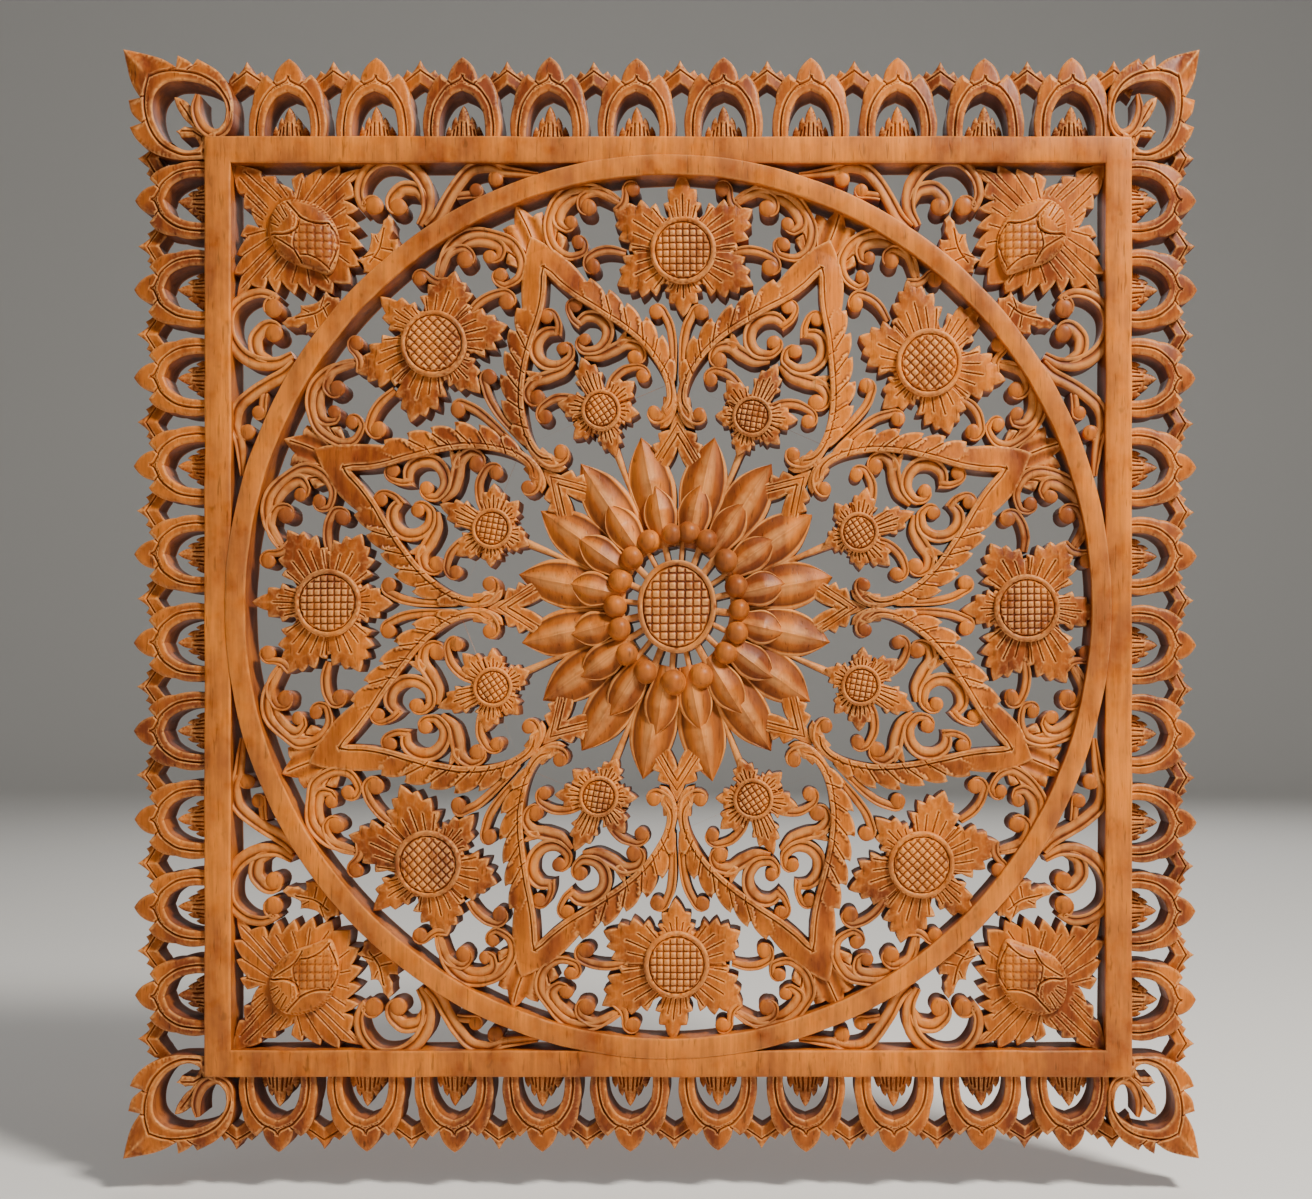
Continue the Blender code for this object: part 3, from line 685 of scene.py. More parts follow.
def block(outline, level, grid=GRID, holes=(), cuts=(), back=0.0, rows=None, square=None):
    """A body with upright sides, a flat back and a carved front.

    level takes points and their distance from the outline and gives metres above the
    back. A cut is a path, a half width and a depth, and leaves a V groove. rows are
    insets that get their own points, and square turns the grid inside by degrees."""
    rows = rows or (0.55 * grid, 1.4 * grid)
    loops = [np.array(loop, float) for loop in (outline, *holes)]
    for k, loop in enumerate(loops):
        area = np.sum(loop[:, 0] * np.roll(loop[:, 1], -1) - np.roll(loop[:, 0], -1) * loop[:, 1])
        if (area < 0.0) == (k == 0):
            loops[k] = loop[::-1]
    rim = np.vstack(loops)
    starts, ends = sides_of(loops)
    sides = []
    for loop in loops:
        start = len(sides)
        sides += [(start + k, start + (k + 1) % len(loop)) for k in range(len(loop))]
    normal = np.column_stack((starts[:, 1] - ends[:, 1], ends[:, 0] - starts[:, 0]))
    ends_at = np.cumsum([len(loop) for loop in loops])[:-1]
    normal = normal + np.vstack([np.roll(part, 1, axis=0) for part in np.split(normal, ends_at)])
    normal /= np.maximum(np.hypot(*normal.T), 1e-9)[:, None]
    fill = []
    for inset in rows:
        row = rim + normal * inset
        row = row[inside(row, loops)]
        fill.append(row[distance(row, starts, ends) > 0.93 * inset])
    box_low = rim.min(axis=0)
    box_high = rim.max(axis=0)
    columns = np.arange(box_low[0], box_high[0], grid)
    lines = np.arange(box_low[1], box_high[1], grid * 0.866)
    across, up = np.meshgrid(columns, lines)
    across[1::2] += grid / 2
    lattice = np.column_stack((across.ravel(), up.ravel()))
    if square is not None:
        reach = math.ceil(math.dist(box_low, box_high) / 2 / grid)
        across, up = np.meshgrid(np.arange(-reach, reach + 1) * grid, np.arange(-reach, reach + 1) * grid)
        middle = tuple((box_low + box_high) / 2)
        lattice = np.array(turned(list(zip(across.ravel(), up.ravel())), square, middle))
    lattice = lattice[inside(lattice, loops)]
    fill.append(lattice[distance(lattice, starts, ends) > rows[-1] + 0.55 * grid])
    fill = np.vstack(fill)
    for path, half, depth in cuts:
        fill = fill[to_path(fill, path) > half * 1.3]
    for path, half, depth in cuts:
        run = np.array(spaced(path, grid), float)
        aside = leftwards(run) * half
        run = np.vstack((run, run + aside, run - aside))
        run = run[inside(run, loops)]
        fill = np.vstack((fill, run[distance(run, starts, ends) > 0.4]))
    drawn = delaunay_2d_cdt([tuple(p) for p in np.vstack((rim, fill))], sides, [], 0, 1e-3)
    spots = np.array([tuple(p) for p in drawn[0]])
    cells = np.array(drawn[2])
    cells = cells[inside(spots[cells].mean(axis=1), loops)]
    from_rim = {}
    for k, sources in enumerate(drawn[3]):
        for source in sources:
            from_rim[source] = k
    order = np.array([from_rim[k] for k in range(len(rim))])
    edge = distance(spots, starts, ends)
    edge[order] = 0.0
    height = level(spots, edge)
    for path, half, depth in cuts:
        height = height - depth * np.clip(1.0 - to_path(spots, path) / half, 0.0, 1.0)
    total = np.zeros(len(spots))
    count = np.zeros(len(spots))
    for a, b in ((0, 1), (1, 2), (2, 0), (1, 0), (2, 1), (0, 2)):
        np.add.at(total, cells[:, a], height[cells[:, b]])
        np.add.at(count, cells[:, a], 1.0)
    # shading tone from how far a spot lies below its neighbours: painted shade in cut grooves, painted highlight on
    # ridges and at the rim
    crease = np.clip((total / np.maximum(count, 1.0) - height) / 0.00045, -1.0, 1.0)
    crease[order] = RIM_SHADING_TONE
    front = np.column_stack((spots[:, 0], -height, spots[:, 1]))
    size = len(front)
    top = -height[order]
    middle = np.column_stack((rim[:, 0], np.minimum(top + EDGE_ROW, -back - 0.001), rim[:, 1]))
    bottom = np.column_stack((rim[:, 0], np.full(len(rim), -back), rim[:, 1]))
    faces = [tuple(face) for face in cells.tolist()]
    for i, j in sides:
        faces.append((int(order[i]), size + i, size + j, int(order[j])))
        faces.append((size + i, size + len(rim) + i, size + len(rim) + j, size + j))
    under = delaunay_2d_cdt([tuple(p) for p in rim], sides, [], 0, 1e-3)
    flat = np.array([tuple(p) for p in under[0]])
    first = [sources[0] for sources in under[3]]
    for cell in under[2]:
        if inside(flat[list(cell)].mean(axis=0)[None], loops)[0]:
            faces.append(tuple(size + len(rim) + first[i] for i in cell[::-1]))
    corners = np.vstack((front, middle, bottom))
    crease = np.concatenate((crease, np.full(len(rim), WALL_SHADING_TONE), np.full(len(rim), BACK_SHADING_TONE)))
    used = np.unique(np.concatenate([np.array(face) for face in faces]))
    number = np.full(len(corners), -1)
    number[used] = np.arange(len(used))
    return corners[used], [tuple(int(number[i]) for i in face) for face in faces], crease[used]


def arch_leaf():
    """One horseshoe arch, drawn with its foot on the frame's edge."""
    lobe = bowed([(38, 0), (36, 34), (31, 54), (22, 64)], -0.07)
    tip = bowed([(15, 57), (0, 80.5)], -0.13)
    outer = [(38, -3)] + lobe + tip
    opening = curve([(23, -3), (23, 12), (20, 27), (12, 40), (0, 46)])
    outline = mirrored(outer) + mirrored(opening)[::-1]
    rim_line = curve([(31, -4), (31, 14), (27, 33), (16, 49), (7, 54)]) + curve([(7, 54), (2, 57), (0, 61)])
    rim_line = mirrored(rim_line)

    def level(points, edge):
        outward = np.clip((to_path(points, mirrored(opening)) - 8.0) / 24.0, 0.0, 1.0)
        foot = np.clip(points[:, 1] / 40.0, 0.0, 1.0)
        rim = 0.0345 * np.ones(len(points))
        leaf = 0.0335 - 0.0045 * outward * foot
        on_rim = to_path(points, mirrored(opening)) < 7.5
        height = np.where(on_rim, rim, leaf)
        return height - rounded(edge, 3.0, 0.0016)

    cuts = [(rim_line, 1.7, 0.0019)]
    for side in (-1, 1):
        cuts.append(([(side * 15, 56), (side * 11, 52.5)], 1.4, 0.0014))
    return block(outline, level, cuts=cuts, back=0.0005)


def sprig():
    """The small leaf inside an arch, fluted upwards from the frame."""
    outline = mirrored(
        bowed(
            [
                (18, -3), (18.5, 9), (15, 15.5), (12.5, 11), (11.5, 19.5), (8, 24), (6, 18), (4.5, 27),
                (0, 34)
            ],
            -0.05
        )
    )

    def level(points, edge):
        return 0.0265 - 0.004 * np.abs(points[:, 0]) / 16.0 - rounded(edge, 2.5, 0.0016)

    cuts = [
        ([(side * x, -2), (side * x * 0.8, y)], 1.4, 0.0018)
        for side in (-1, 1)
        for x, y in ((3, 16), (8, 13), (12.5, 10))
    ]
    return block(outline, level, cuts=cuts, back=0.0003)


def trefoil():
    """The lower folded leaf that shows between two arches."""
    outline = mirrored(
        bowed([(0, 56), (9, 50), (18, 43), (22, 54), (20, 63), (14, 71), (9, 67), (0, 79)], 0.04)
    )

    def level(points, edge):
        fold = np.abs(points[:, 0]) / 20.0
        return 0.0245 - 0.0055 * fold - rounded(edge, 2.2, 0.0012)

    cuts = [([(-15, 60), (0, 69), (15, 60)], 1.4, 0.0016)]
    return block(outline, level, cuts=cuts, back=0.0006)


def along_a_side():
    """Repeats a carved unit along one side of the frame, a little unevenly."""
    group = bpy.data.node_groups.new("along_a_side", "GeometryNodeTree")
    socket(group, "Geometry", "NodeSocketGeometry")
    socket(group, "Count", "NodeSocketInt", value=ARCHES)
    socket(group, "First", "NodeSocketVector")
    socket(group, "Pitch", "NodeSocketVector")
    socket(group, "Step", "NodeSocketVector")
    socket(group, "Turn", "NodeSocketVector")
    socket(group, "Seed", "NodeSocketInt", value=1)
    socket(group, "Stray", "NodeSocketFloat", value=HAND)
    socket(group, "Wood", "NodeSocketMaterial")
    socket(group, "Geometry", "NodeSocketGeometry", "OUTPUT")
    given = group.nodes.new("NodeGroupInput")
    out = group.nodes.new("NodeGroupOutput")
    line = group.nodes.new("GeometryNodeMeshLine")
    each = group.nodes.new("GeometryNodeInstanceOnPoints")
    shake = group.nodes.new("FunctionNodeRandomValue")
    shake.data_type = "FLOAT_VECTOR"
    shake.inputs["Min"].default_value = (0.985, 0.99, 0.975)
    shake.inputs["Max"].default_value = (1.015, 1.0, 1.0)
    sized = group.nodes.new("ShaderNodeVectorMath")
    sized.operation = "MULTIPLY"
    faced = group.nodes.new("GeometryNodeTransform")
    real = group.nodes.new("GeometryNodeRealizeInstances")
    hand = group.nodes.new("GeometryNodeGroup")
    hand.node_tree = HAND_CUT
    paint = group.nodes.new("GeometryNodeSetMaterial")
    last = group.nodes.new("GeometryNodeRealizeInstances")
    link_chain(
        group,
        (given.outputs["Count"], line.inputs["Count"]),
        (given.outputs["First"], line.inputs["Start Location"]),
        (given.outputs["Pitch"], line.inputs["Offset"]),
        (given.outputs["Seed"], shake.inputs["Seed"]),
        (given.outputs["Step"], sized.inputs[0]),
        (shake.outputs["Value"], sized.inputs[1]),
        (line.outputs[0], each.inputs["Points"]),
        (given.outputs["Geometry"], each.inputs["Instance"]),
        (sized.outputs[0], each.inputs["Scale"]),
        (each.outputs[0], real.inputs[0]),
        (real.outputs[0], faced.inputs["Geometry"]),
        (given.outputs["Turn"], faced.inputs["Rotation"]),
        (faced.outputs[0], hand.inputs["Geometry"]),
        (given.outputs["Stray"], hand.inputs["Stray"]),
        (hand.outputs["Geometry"], last.inputs[0]),
        (last.outputs[0], paint.inputs["Geometry"]),
        (given.outputs["Wood"], paint.inputs["Material"]),
        (paint.outputs[0], out.inputs["Geometry"]),
    )
    return group


ALONG_A_SIDE = along_a_side()
# each side: name, quarter turns from the top, inset of first and last arch, depth
FRINGE_SIDES = (
    ("top", 0, 0.0740, 0.0530, 0.0765),
    ("right", 1, 0.0560, 0.0680, 0.0620),
    ("bottom", 2, 0.0550, 0.0650, 0.0715),
    ("left", 3, 0.0720, 0.0560, 0.0685),
)


def fringe_side(name, quarter, first, last, depth):
    """The arches, sprigs and trefoils of one side."""
    along = FRAME_WIDTH if quarter % 2 == 0 else FRAME_HEIGHT
    away = (FRAME_HEIGHT if quarter % 2 == 0 else FRAME_WIDTH) / 2
    pitch = (along - first - last) / (ARCHES - 1)
    step = (pitch / DRAWN_PITCH, 1.0, depth / DRAWN_DEPTH)
    units = (
        ("arches", arch_leaf(), first - along / 2, ARCHES),
        ("sprigs", sprig(), first - along / 2, ARCHES),
        ("trefoils", trefoil(), first - along / 2 - pitch / 2, ARCHES + 1),
    )
    for kind, part, start, count in units:
        made_with(
            ALONG_A_SIDE, wooden(f"fringe_{kind}_{name}", part), count=count, first=(start, 0.0, away),
            pitch=(pitch, 0.0, 0.0), step=step, turn=(0.0, math.pi / 2 * quarter, 0.0), seed=quarter,
            stray=HAND, wood=fringe_wood,
        )


for side in FRINGE_SIDES:
    fringe_side(*side)


# Leaf bands
# Eight pointed bands of leaf stand round the middle: a raised rib along the inner edge,
# a toothed leaf outside it, a curled foot, and a fan of leaf from the tip to the ring.
carving_wood = waxed_wood(
    "carving_wood", (0.67, 0.182, 0.016, 1.0), (0.21, 0.042, 0.008, 1.0), 0.9, 0.75, 0.60
)
DRAWN_RING = 432.0
STRETCH = (RING_HALF[0] / DRAWN_RING, 1.0, RING_HALF[1] / DRAWN_RING)
MIDDLE = (0.008, 0.0, 0.0)
SECTORS = 8
BAND_GRID = 1.9


def round_the_middle():
    """Sets a carved unit round the middle, evenly turned, and stretches it to the ring."""
    group = bpy.data.node_groups.new("round_the_middle", "GeometryNodeTree")
    socket(group, "Geometry", "NodeSocketGeometry")
    socket(group, "Count", "NodeSocketInt", value=SECTORS)
    socket(group, "First Turn", "NodeSocketFloat")
    socket(group, "Stretch", "NodeSocketVector")
    socket(group, "Middle", "NodeSocketVector")
    socket(group, "Stray", "NodeSocketFloat", value=HAND)
    socket(group, "Wood", "NodeSocketMaterial")
    socket(group, "Geometry", "NodeSocketGeometry", "OUTPUT")
    given = group.nodes.new("NodeGroupInput")
    out = group.nodes.new("NodeGroupOutput")
    line = group.nodes.new("GeometryNodeMeshLine")
    line.inputs["Offset"].default_value = (0.0, 0.0, 0.0)
    each = group.nodes.new("GeometryNodeInstanceOnPoints")
    index = group.nodes.new("GeometryNodeInputIndex")
    share = mathematics(group, "DIVIDE", index.outputs[0], given.outputs["Count"])
    turn = mathematics(
        group, "ADD", mathematics(group, "MULTIPLY", share, math.tau), given.outputs["First Turn"]
    )
    upright = group.nodes.new("ShaderNodeCombineXYZ")
    real = group.nodes.new("GeometryNodeRealizeInstances")
    sized = group.nodes.new("GeometryNodeTransform")
    hand = group.nodes.new("GeometryNodeGroup")
    hand.node_tree = HAND_CUT
    paint = group.nodes.new("GeometryNodeSetMaterial")
    last = group.nodes.new("GeometryNodeRealizeInstances")
    link_chain(
        group,
        (given.outputs["Count"], line.inputs["Count"]),
        (line.outputs[0], each.inputs["Points"]),
        (given.outputs["Geometry"], each.inputs["Instance"]),
        (turn, upright.inputs["Y"]),
        (upright.outputs[0], each.inputs["Rotation"]),
        (each.outputs[0], real.inputs[0]),
        (real.outputs[0], sized.inputs["Geometry"]),
        (given.outputs["Middle"], sized.inputs["Translation"]),
        (given.outputs["Stretch"], sized.inputs["Scale"]),
        (sized.outputs[0], hand.inputs["Geometry"]),
        (given.outputs["Stray"], hand.inputs["Stray"]),
        (hand.outputs["Geometry"], last.inputs[0]),
        (last.outputs[0], paint.inputs["Geometry"]),
        (given.outputs["Wood"], paint.inputs["Material"]),
        (paint.outputs[0], out.inputs["Geometry"]),
    )
    return group


ROUND_THE_MIDDLE = round_the_middle()


def ringed(name, part, turn, count=SECTORS):
    """A unit carved once for every sector, the first one turned from the top in degrees."""
    return made_with(
        ROUND_THE_MIDDLE, wooden(name, part), count=count, first_turn=math.radians(turn),
        stretch=STRETCH, middle=MIDDLE, stray=HAND, wood=carving_wood,
    )


def flipped(part):
    """The mirror image of a part, still facing out."""
    corners, faces, shading_tones = part
    return corners * (-1.0, 1.0, 1.0), [face[::-1] for face in faces], shading_tones


def both_sides(*parts):
    """Parts on the right with their mirror images on the left."""
    return [side for part in parts for side in (part, flipped(part))]


def toothed(path, count, depth, gap=GRID):
    """Leaf teeth to the right of a path, leaning the way it goes; also their notches."""
    path = np.array(curve(path, 1.0))
    run = lengths(path)

    def spot(at, out):
        here = np.array([np.interp(at, run, path[:, k]) for k in (0, 1)])
        ahead = np.array([np.interp(min(at + 3.0, run[-1]), run, path[:, k]) for k in (0, 1)])
        behind = np.array([np.interp(max(at - 3.0, 0.0), run, path[:, k]) for k in (0, 1)])
        way = (ahead - behind) / np.hypot(*(ahead - behind))
        return tuple(here + np.array([way[1], -way[0]]) * out)

    pitch = run[-1] / count
    found = []
    notches = []
    for k in range(count):
        start = k * pitch
        size = depth * (0.85 + 0.3 * ((k * 7) % 5) / 4)
        a = spot(start, 0.0)
        b = spot(start + 0.45 * pitch, size * 1.25)
        c = spot(start + 1.03 * pitch, size)
        for step in range(9):
            t = step / 9
            found.append(
                tuple(p * (1 - t) ** 2 + 2 * q * t * (1 - t) + r * t * t for p, q, r in zip(a, b, c))
            )
        found.append(c)
        notches.append((spot(start + 0.99 * pitch, -0.5), spot(start + 0.99 * pitch - 15.0, -13.0)))
        found.append(spot(start + 0.97 * pitch, size * 0.35))
    return found, notches


def along(points, path):
    """How far along a path the spot nearest to each point lies."""
    path = np.array(path, float)
    run = lengths(path)
    found = np.empty(len(points))
    for k in range(0, len(points), CHUNK):
        off = points[k:k + CHUNK, None, :] - path[None]
        found[k:k + CHUNK] = run[(off ** 2).sum(axis=2).argmin(axis=1)]
    return found


def knob(centre, radius, top, dome=0.5, back=0.0, sides=20):
    """A turned-looking knob: an upright drum with a domed top, levels in metres."""
    rows = []
    height = radius * MM * dome
    for step in range(6):
        turn = math.pi / 2 * step / 5
        rows.append((radius * math.cos(turn), top - height + height * math.sin(turn)))
    rows = [(radius, back), (radius, top - height - EDGE_ROW)] + rows[:-1]
    turn = math.tau * np.arange(sides) / sides
    corners = [np.column_stack((
        centre[0] + r * np.cos(turn), np.full(sides, -level), centre[1] + r * np.sin(turn),
    )) for r, level in rows]
    corners.append(np.array([[centre[0], -top, centre[1]]]))
    faces = []
    for k in range(len(rows) - 1):
        for i in range(sides):
            j = (i + 1) % sides
            faces.append((k * sides + i, k * sides + j, (k + 1) * sides + j, (k + 1) * sides + i))
    last = (len(rows) - 1) * sides
    faces += [(last + i, last + (i + 1) % sides, len(rows) * sides) for i in range(sides)]
    faces.append(tuple(range(sides))[::-1])
    # shading tone: painted shade on the drum's walls and back, painted highlight at the dome's rim and top
    shading_tones = [BACK_SHADING_TONE] * sides + [WALL_SHADING_TONE] * sides + [-0.35] * sides
    shading_tones += [-0.1] * (sides * (len(rows) - 3) + 1)
    return np.vstack(corners), faces, np.array(shading_tones)


SCROLL_GAP = 2.8
SCROLL_SHARES = (0.0, 0.06, 0.15, 0.23, 0.33, 0.48, 0.64, 0.80, 0.93, 1.0)
SCROLL_DROPS = (0.9, 0.1, 0.0, 0.5, 1.8, 1.1, 0.6, 0.8, 1.6, 2.8)


def scroll(points, widths, top, end=None, left_rim=True, back=0.0, wrap=130.0):
    """A scroll with a raised outer rim and a groove inside it, wound round a knob.

    The rim lies on the left of the path and the knob on its right, or the other way."""
    points = list(points)
    turn = -1.0 if left_rim else 1.0
    if end is not None:
        (x, y), radius = end
        away = math.dist(points[-1], (x, y))
        angle = math.atan2(points[-1][1] - y, points[-1][0] - x)
        near = radius - widths[-1] / 2 + 0.3
        for step in range(1, 6):
            reach = away + (near - away) * (step / 5) ** 0.7
            now = angle + turn * math.radians(wrap) * step / 5
            points.append((x + reach * math.cos(now), y + reach * math.sin(now)))
    path = np.array(curve(points, SCROLL_GAP))
    aside = leftwards(path)
    share = np.linspace(0.0, 1.0, len(path))
    width = np.interp(share, np.linspace(0.0, 1.0, len(widths)), widths)[:, None]
    left = path + aside * width / 2
    right = path - aside * width / 2
    shares = np.array(SCROLL_SHARES)
    drops = np.array(SCROLL_DROPS) * MM
    if not left_rim:
        shares = 1.0 - shares[::-1]
        drops = drops[::-1]
    lift = np.interp(share, (0.0, 0.12, 0.75, 1.0), (-0.0012, 0.0, 0.0, -0.0004))[:, None]
    levels = top + lift - drops[None] * np.clip(width / 12.0, 0.35, 1.0)
    body = strip(left, right, shares, levels, back=back)
    if end is None:
        return body
    return joined(body, knob((x, y), radius, top + 0.0009, dome=0.30, back=back + 0.0001))


def beside(path, out):
    """A path moved sideways, to its left."""
    path = np.array(path, float)
    return [tuple(spot) for spot in path + leftwards(path) * out]


def leaf_band():
    """One band, its two feet curling inwards."""
    inner = [
        (0, 360), (8, 343), (19, 325), (35, 304), (54, 276), (67, 250), (73, 225), (73, 207), (69, 195),
        (61, 189)
    ]
    inner_right = curve(inner, BAND_GRID)
    foot = curve([(52, 172), (61, 171), (71, 178), (79, 190), (83, 208)], BAND_GRID)
    outer_line = [(83, 208), (86, 232), (83, 256), (69, 287), (49, 318), (36, 338)]
    teeth, notches = toothed(outer_line, 6, 6.5)
    blade = bowed([(36, 338), (0, 402)], -0.07, BAND_GRID)
    right = inner_right + foot + teeth[:-1] + blade
    outline = right + [(-x, y) for x, y in right[::-1]][1:-1]
    rim_line = mirrored(beside(inner_right, 5.2)[1:][::-1] + [(0, 369)])

    def level(points, edge):
        half = np.column_stack((np.abs(points[:, 0]), points[:, 1]))
        off = to_path(half, inner_right)
        place = along(half, curve(outer_line, 1.0))
        inset = to_path(half, outer_line)
        lobe = np.mod((place + inset * 0.9) / 25.2, 1.0) - 0.5
        below = np.clip((340.0 - half[:, 1]) / 20.0, 0.0, 1.0)
        toothy = below * np.clip((half[:, 1] - 205.0) / 20.0, 0.0, 1.0)
        leaf = 0.0350 - 0.0030 * np.clip((off - 7.0) / 20.0, 0.0, 1.0) + 0.0014 * lobe * toothy
        height = np.where(off < 5.6, 0.0362, leaf)
        return height - rounded(edge, 2.2, 0.0012)

    cuts = [(rim_line, 1.3, 0.0020)]
    for start, end in notches[:-1]:
        for side in (-1, 1):
            cuts.append(([(side * start[0], start[1]), (side * end[0], end[1])], 1.3, 0.0016))
            near = (
                side * (end[0] + (start[0] - end[0]) * 0.55 + 1.0),
                end[1] + (start[1] - end[1]) * 0.55 - 9.0
            )
            cuts.append(([near, (near[0] - side * 4.0, near[1] - 7.0)], 1.0, 0.0012))
    body = block(outline, level, grid=BAND_GRID, cuts=cuts)
    curl = scroll(
        [(73, 196), (66, 184), (56, 180)], (13, 12, 10, 8), 0.0352, ((52, 187), 7.0), left_rim=True,
        back=0.0002, wrap=150.0
    )
    return joined(body, *both_sides(curl))


def fan_leaf():
    """The fan of leaf between a band's tip and the ring."""
    side = [(0, 374), (18, 374), (34, 388), (28, 396), (33, 408), (20, 409), (22, 421), (10, 420), (0, 437)]
    outline = mirrored(bowed(side, -0.05, 2.0))

    def level(points, edge):
        return 0.0300 + 0.001 * np.cos(points[:, 0] * 0.45) - rounded(edge, 2.5, 0.0014)

    cuts = [
        ([(side * x0, 372), (side * x1, y1)], 1.5, 0.0016)
        for side in (-1, 1)
        for x0, x1, y1 in ((12, 27, 396), (6, 19, 410))
    ]
    cuts.append(([(0, 396), (0, 428)], 1.3, 0.0014))
    return block(outline, level, grid=2.0, cuts=cuts, back=0.0004)


# the carver drew by eye: for each sector from the first right of the top, how far the
# band's inner point, its tip and the small flower moved, and then the large flower
STRAYED = (
    ((7, 2), (4, -1), (-3, 0), (1, 0)), ((2, -4), (-4, -7), (2, -6), (5, -2)),
    ((1, 4), (2, -7), (0, -2), (-4, 1)),
    ((4, 3), (1, 6), (1, 2), (1, 3)), ((3, 6), (6, 4), (1, 1), (-5, 2)),
    ((2, 5), (0, 8), (-3, -1), (-8, 6)),
    ((-2, 1), (4, 3), (-1, -1), (-1, 0)), ((4, -1), (4, -1), (3, 7), (6, 6)),
)
STRAY_SPOTS = ((0, 360, 22.5), (0, 402, 22.5), (0, 206, 22.5), (5, 357, 0.0))


def drawn_by_eye(piece):
    """Moves a finished ring of carving a little, as the carver's eye did."""
    anchors = []
    moves = []
    for sector, offsets in enumerate(STRAYED):
        for (x, y, turn), (across, out) in zip(STRAY_SPOTS, offsets):
            angle = math.radians(turn + 45.0 * sector)
            c = math.cos(angle)
            s = math.sin(angle)
            anchors.append((x * c + y * s, y * c - x * s))
            moves.append((across * c + out * s, out * c - across * s))
    for reach, count in ((446.0, 40), (150.0, 16)):
        anchors += [tuple(spot) for spot in oval(reach, reach, count)]
        moves += [(0.0, 0.0)] * count
    anchors = np.array(anchors)
    moves = np.array(moves)
    size = len(piece.data.vertices)
    spots = np.empty(size * 3)
    piece.data.vertices.foreach_get("co", spots)
    spots = spots.reshape(-1, 3)
    drawn = np.column_stack(((spots[:, 0] - MIDDLE[0]) / STRETCH[0], spots[:, 2] / STRETCH[2]))
    for k in range(0, size, 20000):
        off = drawn[k:k + 20000, None, :] - anchors[None]
        weight = 1.0 / ((off ** 2).sum(axis=2) + 500.0) ** 2
        shift = weight @ moves / weight.sum(axis=1)[:, None]
        spots[k:k + 20000, 0] += shift[:, 0] * STRETCH[0]
        spots[k:k + 20000, 2] += shift[:, 1] * STRETCH[2]
    piece.data.vertices.foreach_set("co", spots.reshape(-1))
    piece.data.update()


drawn_by_eye(ringed("leaf_bands", leaf_band(), 22.5))
drawn_by_eye(ringed("fan_leaves", fan_leaf(), 22.5))


# Flowers and scrolls inside the bands
# In every band a small six-petalled flower with a checkered seed disc hangs on a thin
# stem, with two facing scrolls above it and curling side shoots.
FLOWER_GRID = 1.8


def merged(shapes):
    """The outer edge of several overlapping closed shapes taken as one."""
    rim = [spot for shape in shapes for spot in shape]
    sides = []
    for shape in shapes:
        start = len(sides)
        sides += [(start + k, start + (k + 1) % len(shape)) for k in range(len(shape))]
    drawn = delaunay_2d_cdt(rim, sides, [], 0, 1e-3)
    spots = np.array([tuple(p) for p in drawn[0]])
    cells = np.array(drawn[2])
    centres = spots[cells].mean(axis=1)
    kept = cells[np.any([inside(centres, [shape]) for shape in shapes], axis=0)]
    edges = {(int(cell[k]), int(cell[(k + 1) % 3])) for cell in kept for k in range(3)}
    following = {a: b for a, b in edges if (b, a) not in edges}
    loops = []
    while following:
        start, spot = next(iter(following.items()))
        loop = [start]
        del following[start]
        while spot in following:
            loop.append(spot)
            spot = following.pop(spot)
        loops.append(loop)
    longest = max(loops, key=len)
    return [tuple(spots[k]) for k in longest]


def flower_petals(centre, petals, core, top, tip_drop, back):
    """The petals of one flower, all cut in one: turn, reach and half width of each."""
    shapes = [[turned([(core * 1.16, 0.0)], 5.0 * k, centre)[0] for k in range(72)]]
    cuts = []
    count = len(petals)
    for k, (turn, reach, half) in enumerate(petals):
        right = [(0.50, -0.80), (0.60, -1.08), (0.625, -0.76), (0.78, -0.82), (0.79, -0.48), (1.0, 0.0)]
        if half > 22.0:
            right = [
                (0.46, -0.70), (0.58, -0.96), (0.61, -0.68), (0.76, -0.80), (0.76, -0.50),
                (0.88, -0.46), (0.87, -0.25), (1.0, 0.0),
            ]
        right = [(reach * x, half * y) for x, y in right]
        side = bowed([(0.2 * reach, -0.5 * half)] + right, -0.06, FLOWER_GRID)
        shapes.append(turned(side + [(x, -y) for x, y in side[::-1]][1:], turn, centre))
        following = petals[(k + 1) % count][0]
        dip = turn + ((following - turn) % 360) / 2
        cuts.append((turned([(core * 0.9, 0.0), (core * 1.6, 0.0)], dip, centre), 2.0, 0.0022))
        cuts.append((turned([(core * 0.95, 0.0), (0.70 * reach, 0.0)], turn, centre), 1.3, 0.0017))
        for aside, far, depth in (
            (0.36, 0.62, 0.0015), (-0.36, 0.62, 0.0015), (0.72, 0.56, 0.0012), (-0.72, 0.56, 0.0012)
        ):
            vein = [(core * 0.95, aside * half * 0.7), (far * reach, aside * half)]
            cuts.append((turned(vein, turn, centre), 1.2, depth))
    outline = merged(shapes)
    reach = max(petal[1] for petal in petals)

    def level(points, edge):
        off = np.hypot(points[:, 0] - centre[0], points[:, 1] - centre[1])
        out = np.clip((off - core) / (reach - core), 0.0, 1.0)
        swell = 0.0012 * np.clip(edge / 9.0, 0.0, 1.0)
        return top + swell - tip_drop * out ** 1.5 - rounded(edge, 2.2, 0.0012)

    return block(outline, level, grid=FLOWER_GRID, cuts=cuts, back=back)


